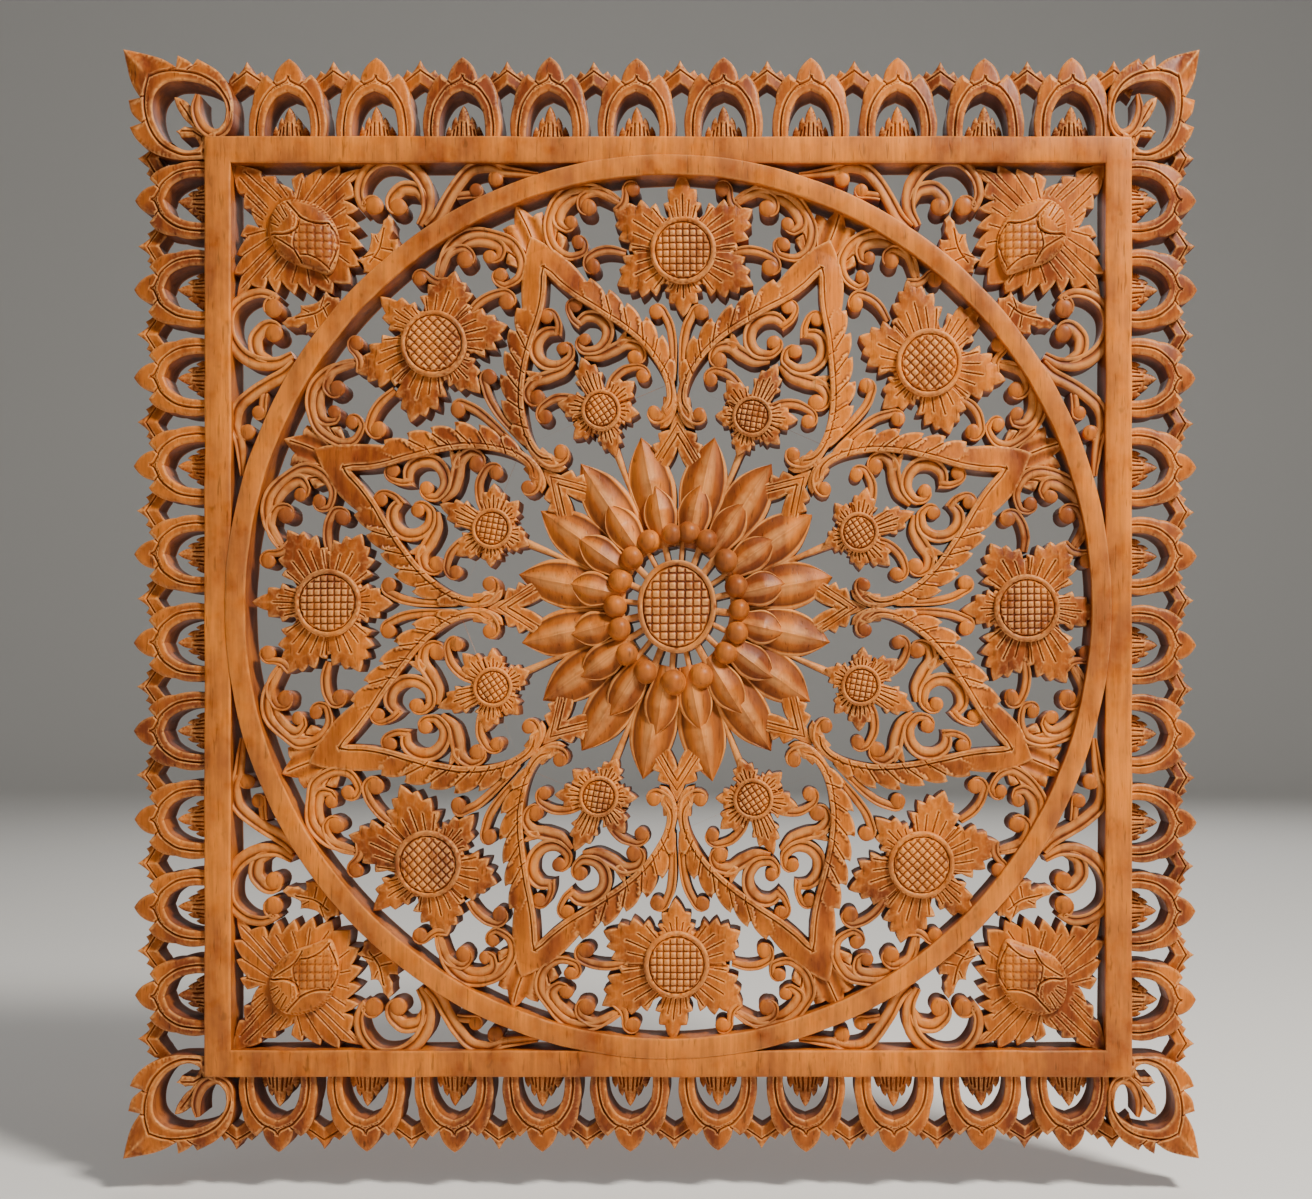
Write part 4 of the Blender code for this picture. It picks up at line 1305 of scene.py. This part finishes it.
def seed_disc(centre, across, up, rim, top, pitch, turn, back):
    """A round disc with a thick rounded rim and rows of small square pillows."""
    count = 72
    outline = [
        (
            centre[0] + across * math.cos(math.tau * k / count),
            centre[1] + up * math.sin(math.tau * k / count)
        )
        for k in range(count)
    ]

    def level(points, edge):
        local = np.array(turned([tuple(p - centre) for p in points], -turn))
        columns = np.abs(np.sin(np.pi * local[:, 0] / pitch)) ** 0.5
        pillow = columns * np.abs(np.sin(np.pi * local[:, 1] / pitch)) ** 0.5
        middle = 1.0 - ((points[:, 0] - centre[0]) / across) ** 2 - ((points[:, 1] - centre[1]) / up) ** 2
        seeds = top - 0.0022 + 0.0018 * pillow + 0.0016 * middle
        round_rim = np.sqrt(np.clip(1.0 - ((edge - rim / 2) / (rim / 2)) ** 2, 0.0, 1.0))
        border = top - 0.0028 + 0.0028 * round_rim
        border = np.where(edge < 0.01, top - 0.0028, border)
        return np.where(edge < rim, border, np.minimum(seeds, top - 0.0030 + 0.0016 * (edge - rim)))

    rows = [rim * share for share in (0.12, 0.3, 0.5, 0.7, 0.88, 1.0, 1.18)]
    return block(outline, level, grid=pitch / 5.0, back=back, rows=rows, square=turn)


SMALL_FLOWER = (0.6, 206.0)
INSIDE_TOP = 0.0325


def inside_ornament():
    """Everything inside one band."""
    petals = ((20, 46, 14), (88, 60, 14), (148, 46, 14), (200, 39, 12), (268, 42, 13), (338, 39, 12))
    flower = flower_petals(SMALL_FLOWER, petals, 20.0, 0.0325, 0.0022, 0.0005)
    disc = seed_disc(np.array(SMALL_FLOWER), 20.5, 20.5, 4.2, 0.0368, 5.6, 12.0, 0.0006)
    top_curl = scroll(
        [(13, 299), (8, 308), (7, 317)], (9, 7, 6, 5), INSIDE_TOP, ((16, 321), 7.0), back=0.0007
    )
    facing = scroll(
        [(9, 302), (22, 306), (34, 300), (39, 287), (34, 274), (22, 267), (9, 270)],
        (8, 12, 14, 13, 12, 9, 6),
        INSIDE_TOP, ((12, 283), 6.8), back=0.0008,
    )
    tail = scroll(
        [(6, 265), (20, 259), (36, 260), (50, 262), (61, 256)], (6, 12, 14, 12, 9, 6), INSIDE_TOP - 0.0002,
        ((54, 245), 8.0), back=0.0009,
    )
    shoot = scroll(
        [(14, 220), (24, 230), (38, 236), (52, 235)], (9, 9, 9, 7, 6), INSIDE_TOP - 0.0006,
        ((54, 224), 7.0), back=0.0010,
    )
    barb = block(
        bowed([(44, 258), (50, 262), (60, 266), (54, 269), (56, 276), (47, 271), (40, 266)], -0.05, 2.0),
        lambda points, edge: 0.0318 - rounded(edge, 2.0, 0.0012), grid=2.0, back=0.0011,
    )
    stem_left = np.array([(-1.8, 104.0), (-2.0, 135.0), (-3.0, 172.0)])
    stem_right = np.array([(1.8, 104.0), (3.0, 135.0), (5.0, 172.0)])
    stem = strip(
        stem_left, stem_right, (0.0, 0.2, 0.5, 0.8, 1.0),
        [level * MM for level in (25.0, 26.4, 26.9, 26.4, 25.0)], back=0.0012
    )
    return joined(flower, disc, stem, *both_sides(top_curl, facing, tail, shoot, barb))


drawn_by_eye(ringed("small_flowers", inside_ornament(), 22.5))


# Flowers and scrolls between the bands
# Towards the ring stand eight larger flowers with wide checkered discs, each between two
# pairs of strong scrolls, over a forked stem and a small leafy roof.
LARGE_FLOWER = (5.0, 357.0)
BETWEEN_TOP = 0.0325


def large_flower():
    """One large flower, with the leafy roof and legs under it."""
    petals = ((31, 84, 29), (90, 80, 18), (149, 84, 29), (206, 77, 29), (270, 66, 18), (334, 77, 29))
    flower = flower_petals(LARGE_FLOWER, petals, 32.0, 0.0325, 0.0024, 0.0005)
    disc = seed_disc(np.array(LARGE_FLOWER), 34.0, 34.0, 5.6, 0.0384, 6.9, 0.0, 0.0006)
    roof_side = bowed(
        [
            (0, 196), (8, 178), (20, 174), (18, 166), (26, 163), (22, 156), (26, 148), (14, 136), (4, 150),
            (0, 162)
        ],
        0.04, 2.0
    )

    def roof_level(points, edge):
        return 0.0262 + 0.0050 * np.clip(
            (points[:, 1] - 138.0) / 40.0, 0.0, 1.0
        ) - rounded(edge, 2.2, 0.0013)

    roof = block(
        mirrored(roof_side), roof_level, grid=1.9, back=0.0012,
        cuts=[
            ([(20, 142), (0, 174), (-20, 142)], 1.4, 0.0018),
            ([(22, 150), (0, 184), (-22, 150)], 1.1, 0.0010)
        ],
    )
    leg = strip(
        np.array([(17.0, 122.0), (9.0, 150.0)]), np.array([(29.0, 122.0), (21.0, 150.0)]),
        (0.0, 0.2, 0.5, 0.8, 1.0), [level * MM for level in (24.6, 25.8, 26.2, 25.8, 24.6)], back=0.0014,
    )
    return joined(flower, disc, roof, *both_sides(leg))


def outer_scrolls():
    """The scrolls on both sides of a large flower and the fork under it."""
    top_curl = scroll(
        [(64, 397), (56, 405), (54, 414)], (9, 8, 6, 6), 0.0320, ((46, 420), 7.5), left_rim=False,
        back=0.0013, wrap=170.0,
    )
    outer = scroll(
        [
            (62, 407), (84, 419), (106, 420), (121, 411), (132, 395), (136, 379), (130, 361), (116, 352),
            (101, 355)
        ],
        (7, 11, 13, 12, 10, 10, 10, 9, 7, 6), BETWEEN_TOP, ((105, 366), 6.8), back=0.0007, wrap=150.0,
    )
    fat = scroll(
        [(98, 414), (112, 409), (122, 399), (125, 386), (117, 379)], (7, 13, 15, 14, 9, 6),
        BETWEEN_TOP - 0.0006,
        ((111, 386), 6.8), back=0.0008, wrap=60.0,
    )
    second = scroll(
        [(58, 406), (72, 415), (86, 417), (98, 411)], (7, 9, 10, 8, 6), BETWEEN_TOP - 0.0003,
        ((92, 401), 8.5), back=0.0009,
    )
    lower = scroll(
        [(54, 356), (70, 359), (84, 357), (95, 351)], (7, 9, 9, 8, 6), BETWEEN_TOP - 0.0003,
        ((90, 342), 8.0), back=0.0010,
    )
    fork = scroll(
        [(4, 226), (5, 258), (8, 280), (14, 294)], (5, 7, 9, 9, 7), 0.0320, ((23, 296), 7.5), back=0.0011,
        wrap=110.0
    )
    return joined(*both_sides(top_curl, outer, fat, second, lower, fork))


drawn_by_eye(ringed("large_flowers", large_flower(), 0.0))
drawn_by_eye(ringed("outer_scrolls", outer_scrolls(), 0.0))


# Middle flower
# Two rows of sixteen keeled petals, a ring of seventeen turned beads, thin spokes with
# open gaps, and a raised oval hub with a grid of small pillows.
middle_wood = waxed_wood(
    "middle_wood", (0.69, 0.190, 0.018, 1.0), (0.23, 0.048, 0.008, 1.0), 0.85, 0.8, 0.50
)
# drawn tips of the petals, clockwise from the first one right of the top
OUTER_TIPS = (
    (37, 168), (95, 142), (136, 91), (156, 30), (154, -35), (134, -93), (94, -142), (35, -172),
    (-35, -170), (-97, -142), (-136, -92), (-157, -35), (-160, 33), (-138, 95), (-98, 142), (-37, 168),
)
INNER_TIPS = (
    (23, 120), (67, 102), (97, 66), (108, 23), (107, -25), (97, -70), (65, -105), (24, -122),
    (-21, -125), (-67, -107), (-97, -69), (-107, -27), (-108, 23), (-100, 68), (-70, 101), (-22, 119),
)
BEAD_SPOTS = (
    (-5, 71), (12, 73), (30, 65), (49, 45), (59, 20), (62, -3), (60, -25), (49, -45), (24, -68), (-4, -74),
    (-32, -64), (-51, -47), (-58, -22), (-62, 0), (-57, 26), (-45, 48), (-28, 64),
)
HUB = (39.5, 45.5)
PIXEL_TO_STEP = METRES_PER_PIXEL / STRETCH[0]
SPOKES = 20


def petal(tip, root, half, edge_level, keel_level, back):
    """A keeled petal from near the middle to its tip, with a thin raised rim."""
    tip = np.array(tip, float) * PIXEL_TO_STEP
    reach = np.hypot(*tip)
    way = tip / reach
    aside = np.array([-way[1], way[0]])
    run = np.linspace(0.0, 1.0, 36)
    shape = np.array(
        curve(
            [(0.0, 0.55), (0.25, 0.76), (0.45, 0.97), (0.58, 1.0), (0.74, 0.84), (0.88, 0.47), (1.0, 0.0)],
            0.02
        )
    )
    width = half * np.interp(run, shape[:, 0], shape[:, 1])
    width[-1] = 0.35
    centre = way * (root + (reach - root) * run)[:, None]
    left = centre + aside * width[:, None]
    right = centre - aside * width[:, None]
    shares = np.array(
        (0.0, 0.03, 0.07, 0.11, 0.2, 0.32, 0.42, 0.475, 0.5, 0.525, 0.58, 0.68, 0.8, 0.89, 0.93, 0.97, 1.0)
    )
    out = np.abs(shares - 0.5) * 2.0
    facet = 1.0 - out
    rim = np.where(out > 0.86, 0.0, -0.0007)
    rim = np.where(out > 0.99, -0.0008, rim)
    keel = (keel_level - edge_level) * np.interp(run, (0.0, 0.3, 0.6, 1.0), (0.3, 0.85, 1.0, 0.2))
    levels = edge_level + facet[None] * keel[:, None] + rim[None] * np.interp(
        run, (0.0, 0.9, 1.0), (1.0, 1.0, 0.0)
    )[:, None]
    levels = levels - 0.0012 * run[:, None] ** 3
    return strip(left, right, shares, levels, back=back)


def petal_row(tips, root, half, edge_level, keel_level, back):
    """A whole row of petals; each second one lies a touch lower."""
    row = []
    for k, tip in enumerate(tips):
        low_petal = 0.0005 * (k % 2)
        row.append(
            petal(tip, root, half, edge_level - low_petal, keel_level - low_petal, back + 0.0001 * (k % 2))
        )
    return joined(*row)


def around(part, spots):
    """The beads or the spokes as one body."""
    return joined(*[part(k, np.array(spot, float) * PIXEL_TO_STEP) for k, spot in enumerate(spots)])


def bead(k, spot):
    """One bead, a ball on a short drum."""
    radius = 11.9 + 1.5 * (k in (9, 8)) + 0.5 * (k in (3, 14, 10)) - 0.8 * (k in (0, 5))
    return knob(
        tuple(spot), radius, 0.0458 - 0.0006 * (k % 3), dome=0.92, back=0.0003 + 0.0001 * (k % 2), sides=26
    )


def spoke(k, spot):
    """One thin spoke between the hub and the beads."""
    way = spot / np.hypot(*spot)
    aside = np.array([-way[1], way[0]]) * (2.5 + 0.5 * (k % 3))
    ends = np.array((way * 38.0, way * 68.0))
    return strip(
        ends + aside, ends - aside, (0.0, 0.2, 0.5, 0.8, 1.0),
        [level * MM for level in (33.4, 34.4, 34.8, 34.4, 33.4)], back=0.0005,
    )


def collar():
    """The ring of wood under the beads."""
    outer = oval(70.0, 78.0, 96)
    inner = oval(54.0, 62.0, 96)
    return strip(
        outer, inner, (0.0, 0.1, 0.5, 0.9, 1.0), [level * MM for level in (31.0, 32.0, 32.4, 32.0, 31.0)],
        back=0.0007, closed=True
    )


spoke_spots = [
    (60 * math.sin(math.tau * (k + 0.3) / SPOKES), 66 * math.cos(math.tau * (k + 0.3) / SPOKES))
    for k in range(SPOKES)
]
hub = seed_disc(np.zeros(2), HUB[0] * PIXEL_TO_STEP, HUB[1] * PIXEL_TO_STEP, 5.8, 0.0440, 8.3, 0.0, 0.0002)
middle_flower = joined(
    petal_row(OUTER_TIPS, 60.0, 24.0, 0.0268, 0.0352, 0.0008),
    petal_row(INNER_TIPS, 60.0, 17.5, 0.0335, 0.0412, 0.0010),
    collar(),
    around(bead, BEAD_SPOTS),
    around(spoke, spoke_spots),
    hub,
)
made_with(
    ROUND_THE_MIDDLE, wooden("middle_flower", middle_flower), count=1, first_turn=0.0, stretch=STRETCH,
    middle=MIDDLE, stray=HAND, wood=middle_wood,
)


# Corner leaves
# Outside each corner of the frame a large leaf curls back on itself: a raised rim round
# an opening, serrated outer edges, a long tip, and a small three-lobed leaf inside.
CORNER_DRAWN = 74.0
# mm from the frame's corner to the leaf's tip
CORNER_REACH = {"left": 76.0, "right": 63.0, "top": 81.0, "bottom": 76.0}


def corner_leaf():
    """One corner leaf, drawn from the frame's corner outwards."""
    outline = curve([
        (-13, -8), (-20, 6), (-23.5, 17), (-24.5, 28), (-22, 40), (-17, 49), (-9, 57), (-1, 62), (9, 67),
    ], 1.8)
    outline += curve([(12.5, 61.5), (18, 66), (26, 70)], 1.8)
    outline += curve([(27, 59.5), (38, 66), (48, 69.5), (61, 72.5), (74, 74)], 1.8)
    outline += curve([(74, 74), (71.5, 58), (67, 46), (59, 34)], 1.8)[1:]
    outline += curve([(70, 32), (66.5, 21), (57.5, 13)], 1.8)
    outline += curve([(69, 10), (64, 1), (54, -8), (42, -14), (28, -17.5), (13, -18), (-2, -17)], 1.8)
    outline += [(-7, -12)]
    opening = curve([
        (20, 47.5), (5, 45), (-7, 40), (-14.5, 34), (-18, 24.5), (-17, 15), (-11, 7), (-3, 3), (3, -3),
        (6, -8),
        (14, -11), (24, -8.5), (35, -2), (43, 9), (46.5, 19), (47, 29), (45, 36), (40, 42), (32, 46.5),
        (20, 47.5),
    ], 1.8)[:-1]
    centre_line = curve(
        [(-19, 10), (-21, 24), (-17, 35), (-8, 45.5), (7.5, 53), (26, 56), (40, 55), (51, 51)], 2.0
    )
    centre_line += curve(
        [(51, 51), (54.5, 36), (53.5, 20), (48, 5), (37, -7), (21, -14), (6, -14)], 2.0
    )[1:]

    def level(points, edge):
        off = to_path(points, opening + [opening[0]])
        ridge = to_path(points, centre_line)
        beyond = inside(points, [centre_line]) == 0
        leaf = 0.0352 - 0.0050 * np.clip(ridge / 22.0, 0.0, 1.0)
        fold = np.clip(1.0 - np.abs(points[:, 0] - points[:, 1]) / 12.0, 0.0, 1.0)
        leaf = leaf + 0.0034 * fold * np.clip((points.sum(axis=1) - 104.0) / 16.0, 0.0, 1.0)
        rim = 0.0352 + 0.0006 * np.clip(1.0 - off / 5.0, 0.0, 1.0)
        return np.where(beyond, leaf, rim) - rounded(edge, 2.4, 0.0013)

    cuts = [(centre_line, 1.6, 0.0022)]
    for start, end in (
        ((12, 61), (17, 57)), ((27, 59), (32, 57)), ((58.5, 34), (55, 35)), ((57, 13), (53, 15))
    ):
        cuts.append(([start, end], 1.2, 0.0012))
    loop = block(outline, level, grid=1.8, holes=(opening,), cuts=cuts, back=0.0004)
    stem = scroll(
        [(-21, 22), (-20, 12), (-15, 5), (-7, 3), (2, 8), (7.5, 17), (9, 26), (7, 36)],
        (7, 8, 9, 9.5, 9.5, 9, 8, 4), 0.0356, None, left_rim=False, back=0.0007,
    )
    first = block(
        bowed([(5, 5), (15, 13), (24, 22), (29, 35), (20, 32.5), (15, 28), (10, 20)], -0.07, 1.8),
        lambda points, edge: 0.0318 - rounded(edge, 3.0, 0.0022), grid=1.8, back=0.0008,
        cuts=[([(10, 12), (23, 29)], 1.2, 0.0012)],
    )
    second = block(
        bowed(
            [(3, 4), (11, 10.5), (20, 11), (28, 7), (23, 1), (16, 1.5), (11, 2), (7, -5), (0, -8)], -0.07,
            1.8
        ),
        lambda points, edge: 0.0314 - rounded(edge, 3.0, 0.0022), grid=1.8, back=0.0009,
        cuts=[([(5, 2), (12, 6.5), (22, 6.5)], 1.2, 0.0012)],
    )
    return joined(loop, stem, first, second)


def placed(part, across, up, mirror):
    """A drawn part set in metres by two functions of its drawn place."""
    corners, faces, shading_tones = part
    spots = np.column_stack(
        (across(corners[:, 0], corners[:, 2]), corners[:, 1], up(corners[:, 0], corners[:, 2]))
    )
    return spots, [face[::-1] for face in faces] if mirror else faces, shading_tones


leaf = corner_leaf()
for side, way in (("left", -1), ("right", 1)):
    for height, rise in (("bottom", -1), ("top", 1)):
        across_scale = way * CORNER_REACH[side] * MM / CORNER_DRAWN
        up_scale = rise * CORNER_REACH[height] * MM / CORNER_DRAWN
        carved(f"corner_leaf_{height}_{side}", placed(
            leaf,
            lambda x, y: way * FRAME_WIDTH / 2 + x * across_scale,
            lambda x, y: rise * FRAME_HEIGHT / 2 + y * up_scale,
            way * rise < 0,
        ), fringe_wood)


# Corner buds
# Inside each corner of the frame a checkered bud with a folded leaf lies on a rosette of
# serrated leaf, with a scroll, a small leaf and a long wing on both sides of it.


def bud():
    """The egg-shaped bud, its lower half checkered."""
    outline = curve([
        (-4, 62), (5, 64), (15, 70), (23, 78), (28, 89), (29.5, 103), (25, 118), (17, 133), (8, 149),
        (-6, 145), (-19, 136), (-28, 125), (-33, 112), (-34, 99), (-31, 86), (-24, 74), (-14, 65), (-4, 62),
    ], 1.6)[:-1]
    first_flap = curve([(24, 78), (19, 82), (14, 88.5), (8, 93), (-1, 95), (-7, 92)], 2.0)
    second_flap = curve([(-13, 68), (-12.5, 82), (-12.5, 91), (-16, 100), (-21, 107), (-28, 113)], 2.0)
    third_flap = curve([(21, 84), (18, 96), (16, 108), (19, 121)], 2.0)
    fourth_flap = curve([(15, 115), (8.5, 123), (5, 134), (4.5, 146)], 2.0)
    far_rim = curve([(-28, 113), (-25.5, 125), (-20, 133), (-11, 139), (4, 145)], 2.0)
    checkered = [*first_flap[2:], *second_flap[8:], *far_rim, *fourth_flap[::-1], (14, 106), (6, 99)]

    def level(points, edge):
        dome = np.clip(edge / 27.0, 0.0, 1.0)
        height = 0.0335 + 0.0088 * np.sqrt(1.0 - (1.0 - dome) ** 2)
        flap = np.hypot(points[:, 0] - 7.0, points[:, 1] - 76.0) < 17.0
        height = height + np.where(flap, 0.0007, 0.0)
        local = np.array(turned([tuple(p) for p in points - (0.0, 100.0)], 45.0))
        pillow = (
            np.abs(np.sin(np.pi * local[:, 0] / 8.0)) * np.abs(np.sin(np.pi * local[:, 1] / 8.0))
        ) ** 0.5
        seeds = inside(points, [checkered]) * 1.0
        return np.minimum(height + seeds * 0.0015 * (pillow - 1.0) - seeds * 0.0005, 0.0428)

    cuts = [
        (first_flap, 1.7, 0.0024), (second_flap, 1.6, 0.0022), (third_flap, 1.4, 0.0017),
        (fourth_flap, 1.4, 0.0017),
        (far_rim, 1.4, 0.0017), (curve([(-1, 95), (6, 99), (14, 106), (19, 121)], 2.0), 1.3, 0.0014),
    ]
    for start, end in (((-6, 67), (-3, 79)), ((0, 66), (2, 80)), ((7, 67), (7, 79)), ((14, 71), (11, 80))):
        cuts.append(([start, end], 1.2, 0.0012))
    return block(outline, level, grid=1.5, cuts=cuts, back=0.0003)


def rosette():
    """The serrated leaves under a bud."""
    right = [
        (0, -3), (9, 10), (16, 24), (12, 28), (23, 38), (18, 43), (24, 54), (26, 64), (32, 52), (45, 55),
        (41, 61),
        (61, 65), (57, 71), (77, 76), (71, 83), (94, 98), (72, 97), (66, 110), (55, 105), (60, 122),
        (47, 117),
        (48, 136), (37, 131), (36, 151), (26, 145), (20, 163), (11, 156), (0, 169),
    ]
    outline = mirrored(bowed(right, -0.05, 1.8))[:-1]

    def level(points, edge):
        off = np.hypot(points[:, 0], points[:, 1] - 100.0)
        return 0.0322 - 0.0028 * np.clip((off - 30.0) / 60.0, 0.0, 1.0) - rounded(edge, 2.2, 0.0013)

    cuts = []
    for side in (-1, 1):
        for (x0, y0), (x1, y1) in (
            ((6, 56), (4, 14)), ((12, 58), (12, 32)), ((18, 60), (20, 44)), ((24, 70), (40, 60)),
            ((27, 78), (56, 71)),
            ((28, 86), (72, 84)), ((29, 92), (80, 93)), ((29, 100), (58, 102)), ((28, 108), (50, 112)),
            ((25, 118), (40, 126)), ((20, 128), (29, 140)), ((12, 140), (14, 152)), ((24, 64), (30, 52)),
        ):
            cuts.append(([(side * x0, y0), (side * x1, y1)], 1.2, 0.0011))
    return block(outline, level, grid=1.8, cuts=cuts, back=0.0006)


def bud_wing():
    """The scrolls and the small leaf on one side of a bud."""
    big = scroll(
        [
            (92, 178), (110, 172), (124, 156), (128, 136), (122, 116), (106, 102), (86, 102), (70, 112),
            (64, 126)
        ],
        (8, 13, 15, 14, 13, 12, 11, 9, 7), 0.0325, ((73, 131), 9.5), left_rim=False, back=0.0004,
    )
    fat = scroll(
        [(112, 166), (116, 152), (108, 140), (97, 138)], (8, 14, 14, 8), 0.0318, ((90, 149), 9.0),
        left_rim=True, back=0.0005,
    )
    leaf_edge = [
        (77, 148), (69, 148.5), (56, 154), (51, 148.5), (42, 156), (35, 159), (22, 157), (23, 165),
        (18, 171),
        (24, 182), (38, 186), (52, 183), (61.5, 178), (67, 172), (60, 166), (69, 163), (77, 155),
    ]
    small_leaf = block(
        bowed(leaf_edge, -0.07, 1.8), lambda points, edge: 0.0322 - rounded(edge, 2.4, 0.0014), grid=1.8, back=0.0008,
        cuts=[
            (curve([(63, 155), (46, 165.5), (30, 168)], 2.0), 1.4, 0.0017),
            ([(48, 167), (54, 176)], 1.2, 0.0013),
            ([(36, 166), (40, 177)], 1.2, 0.0013), ([(50, 160), (52, 154)], 1.1, 0.0011),
            ([(38, 165), (28, 160)], 1.1, 0.0011),
        ],
    )
    wing = scroll(
        [
            (96, 186), (112, 186), (132, 180), (152, 176), (170, 176), (184, 186), (192, 200), (204, 216),
            (214, 228)
        ],
        (12, 14, 13, 13, 13, 12, 11, 9, 5), 0.0322, None, left_rim=False, back=0.0007,
    )
    curl = scroll(
        [(176, 178), (186, 184), (190, 194), (186, 202)], (8, 9, 8, 6), 0.0316, ((180, 200), 8.0),
        left_rim=True, back=0.0008
    )
    low_curl = scroll(
        [(140, 184), (150, 192), (156, 198)], (8, 9, 7), 0.0312, ((158, 194), 7.0), left_rim=True,
        back=0.0009
    )
    return joined(big, fat, small_leaf, wing, curl, low_curl)


corner_bud = joined(bud(), rosette(), *both_sides(bud_wing()))
HALF_TURN = math.sqrt(0.5)
for side, way in (("left", -1), ("right", 1)):
    for height, rise in (("bottom", -1), ("top", 1)):
        carved(f"corner_bud_{height}_{side}", placed(
            corner_bud,
            lambda x, y: way * (FRAME_WIDTH / 2 - BAR + (x - y) * HALF_TURN * STRETCH[0]),
            lambda x, y: rise * (FRAME_HEIGHT / 2 - BAR - (x + y) * HALF_TURN * STRETCH[2]),
            way * rise > 0,
        ), carving_wood)
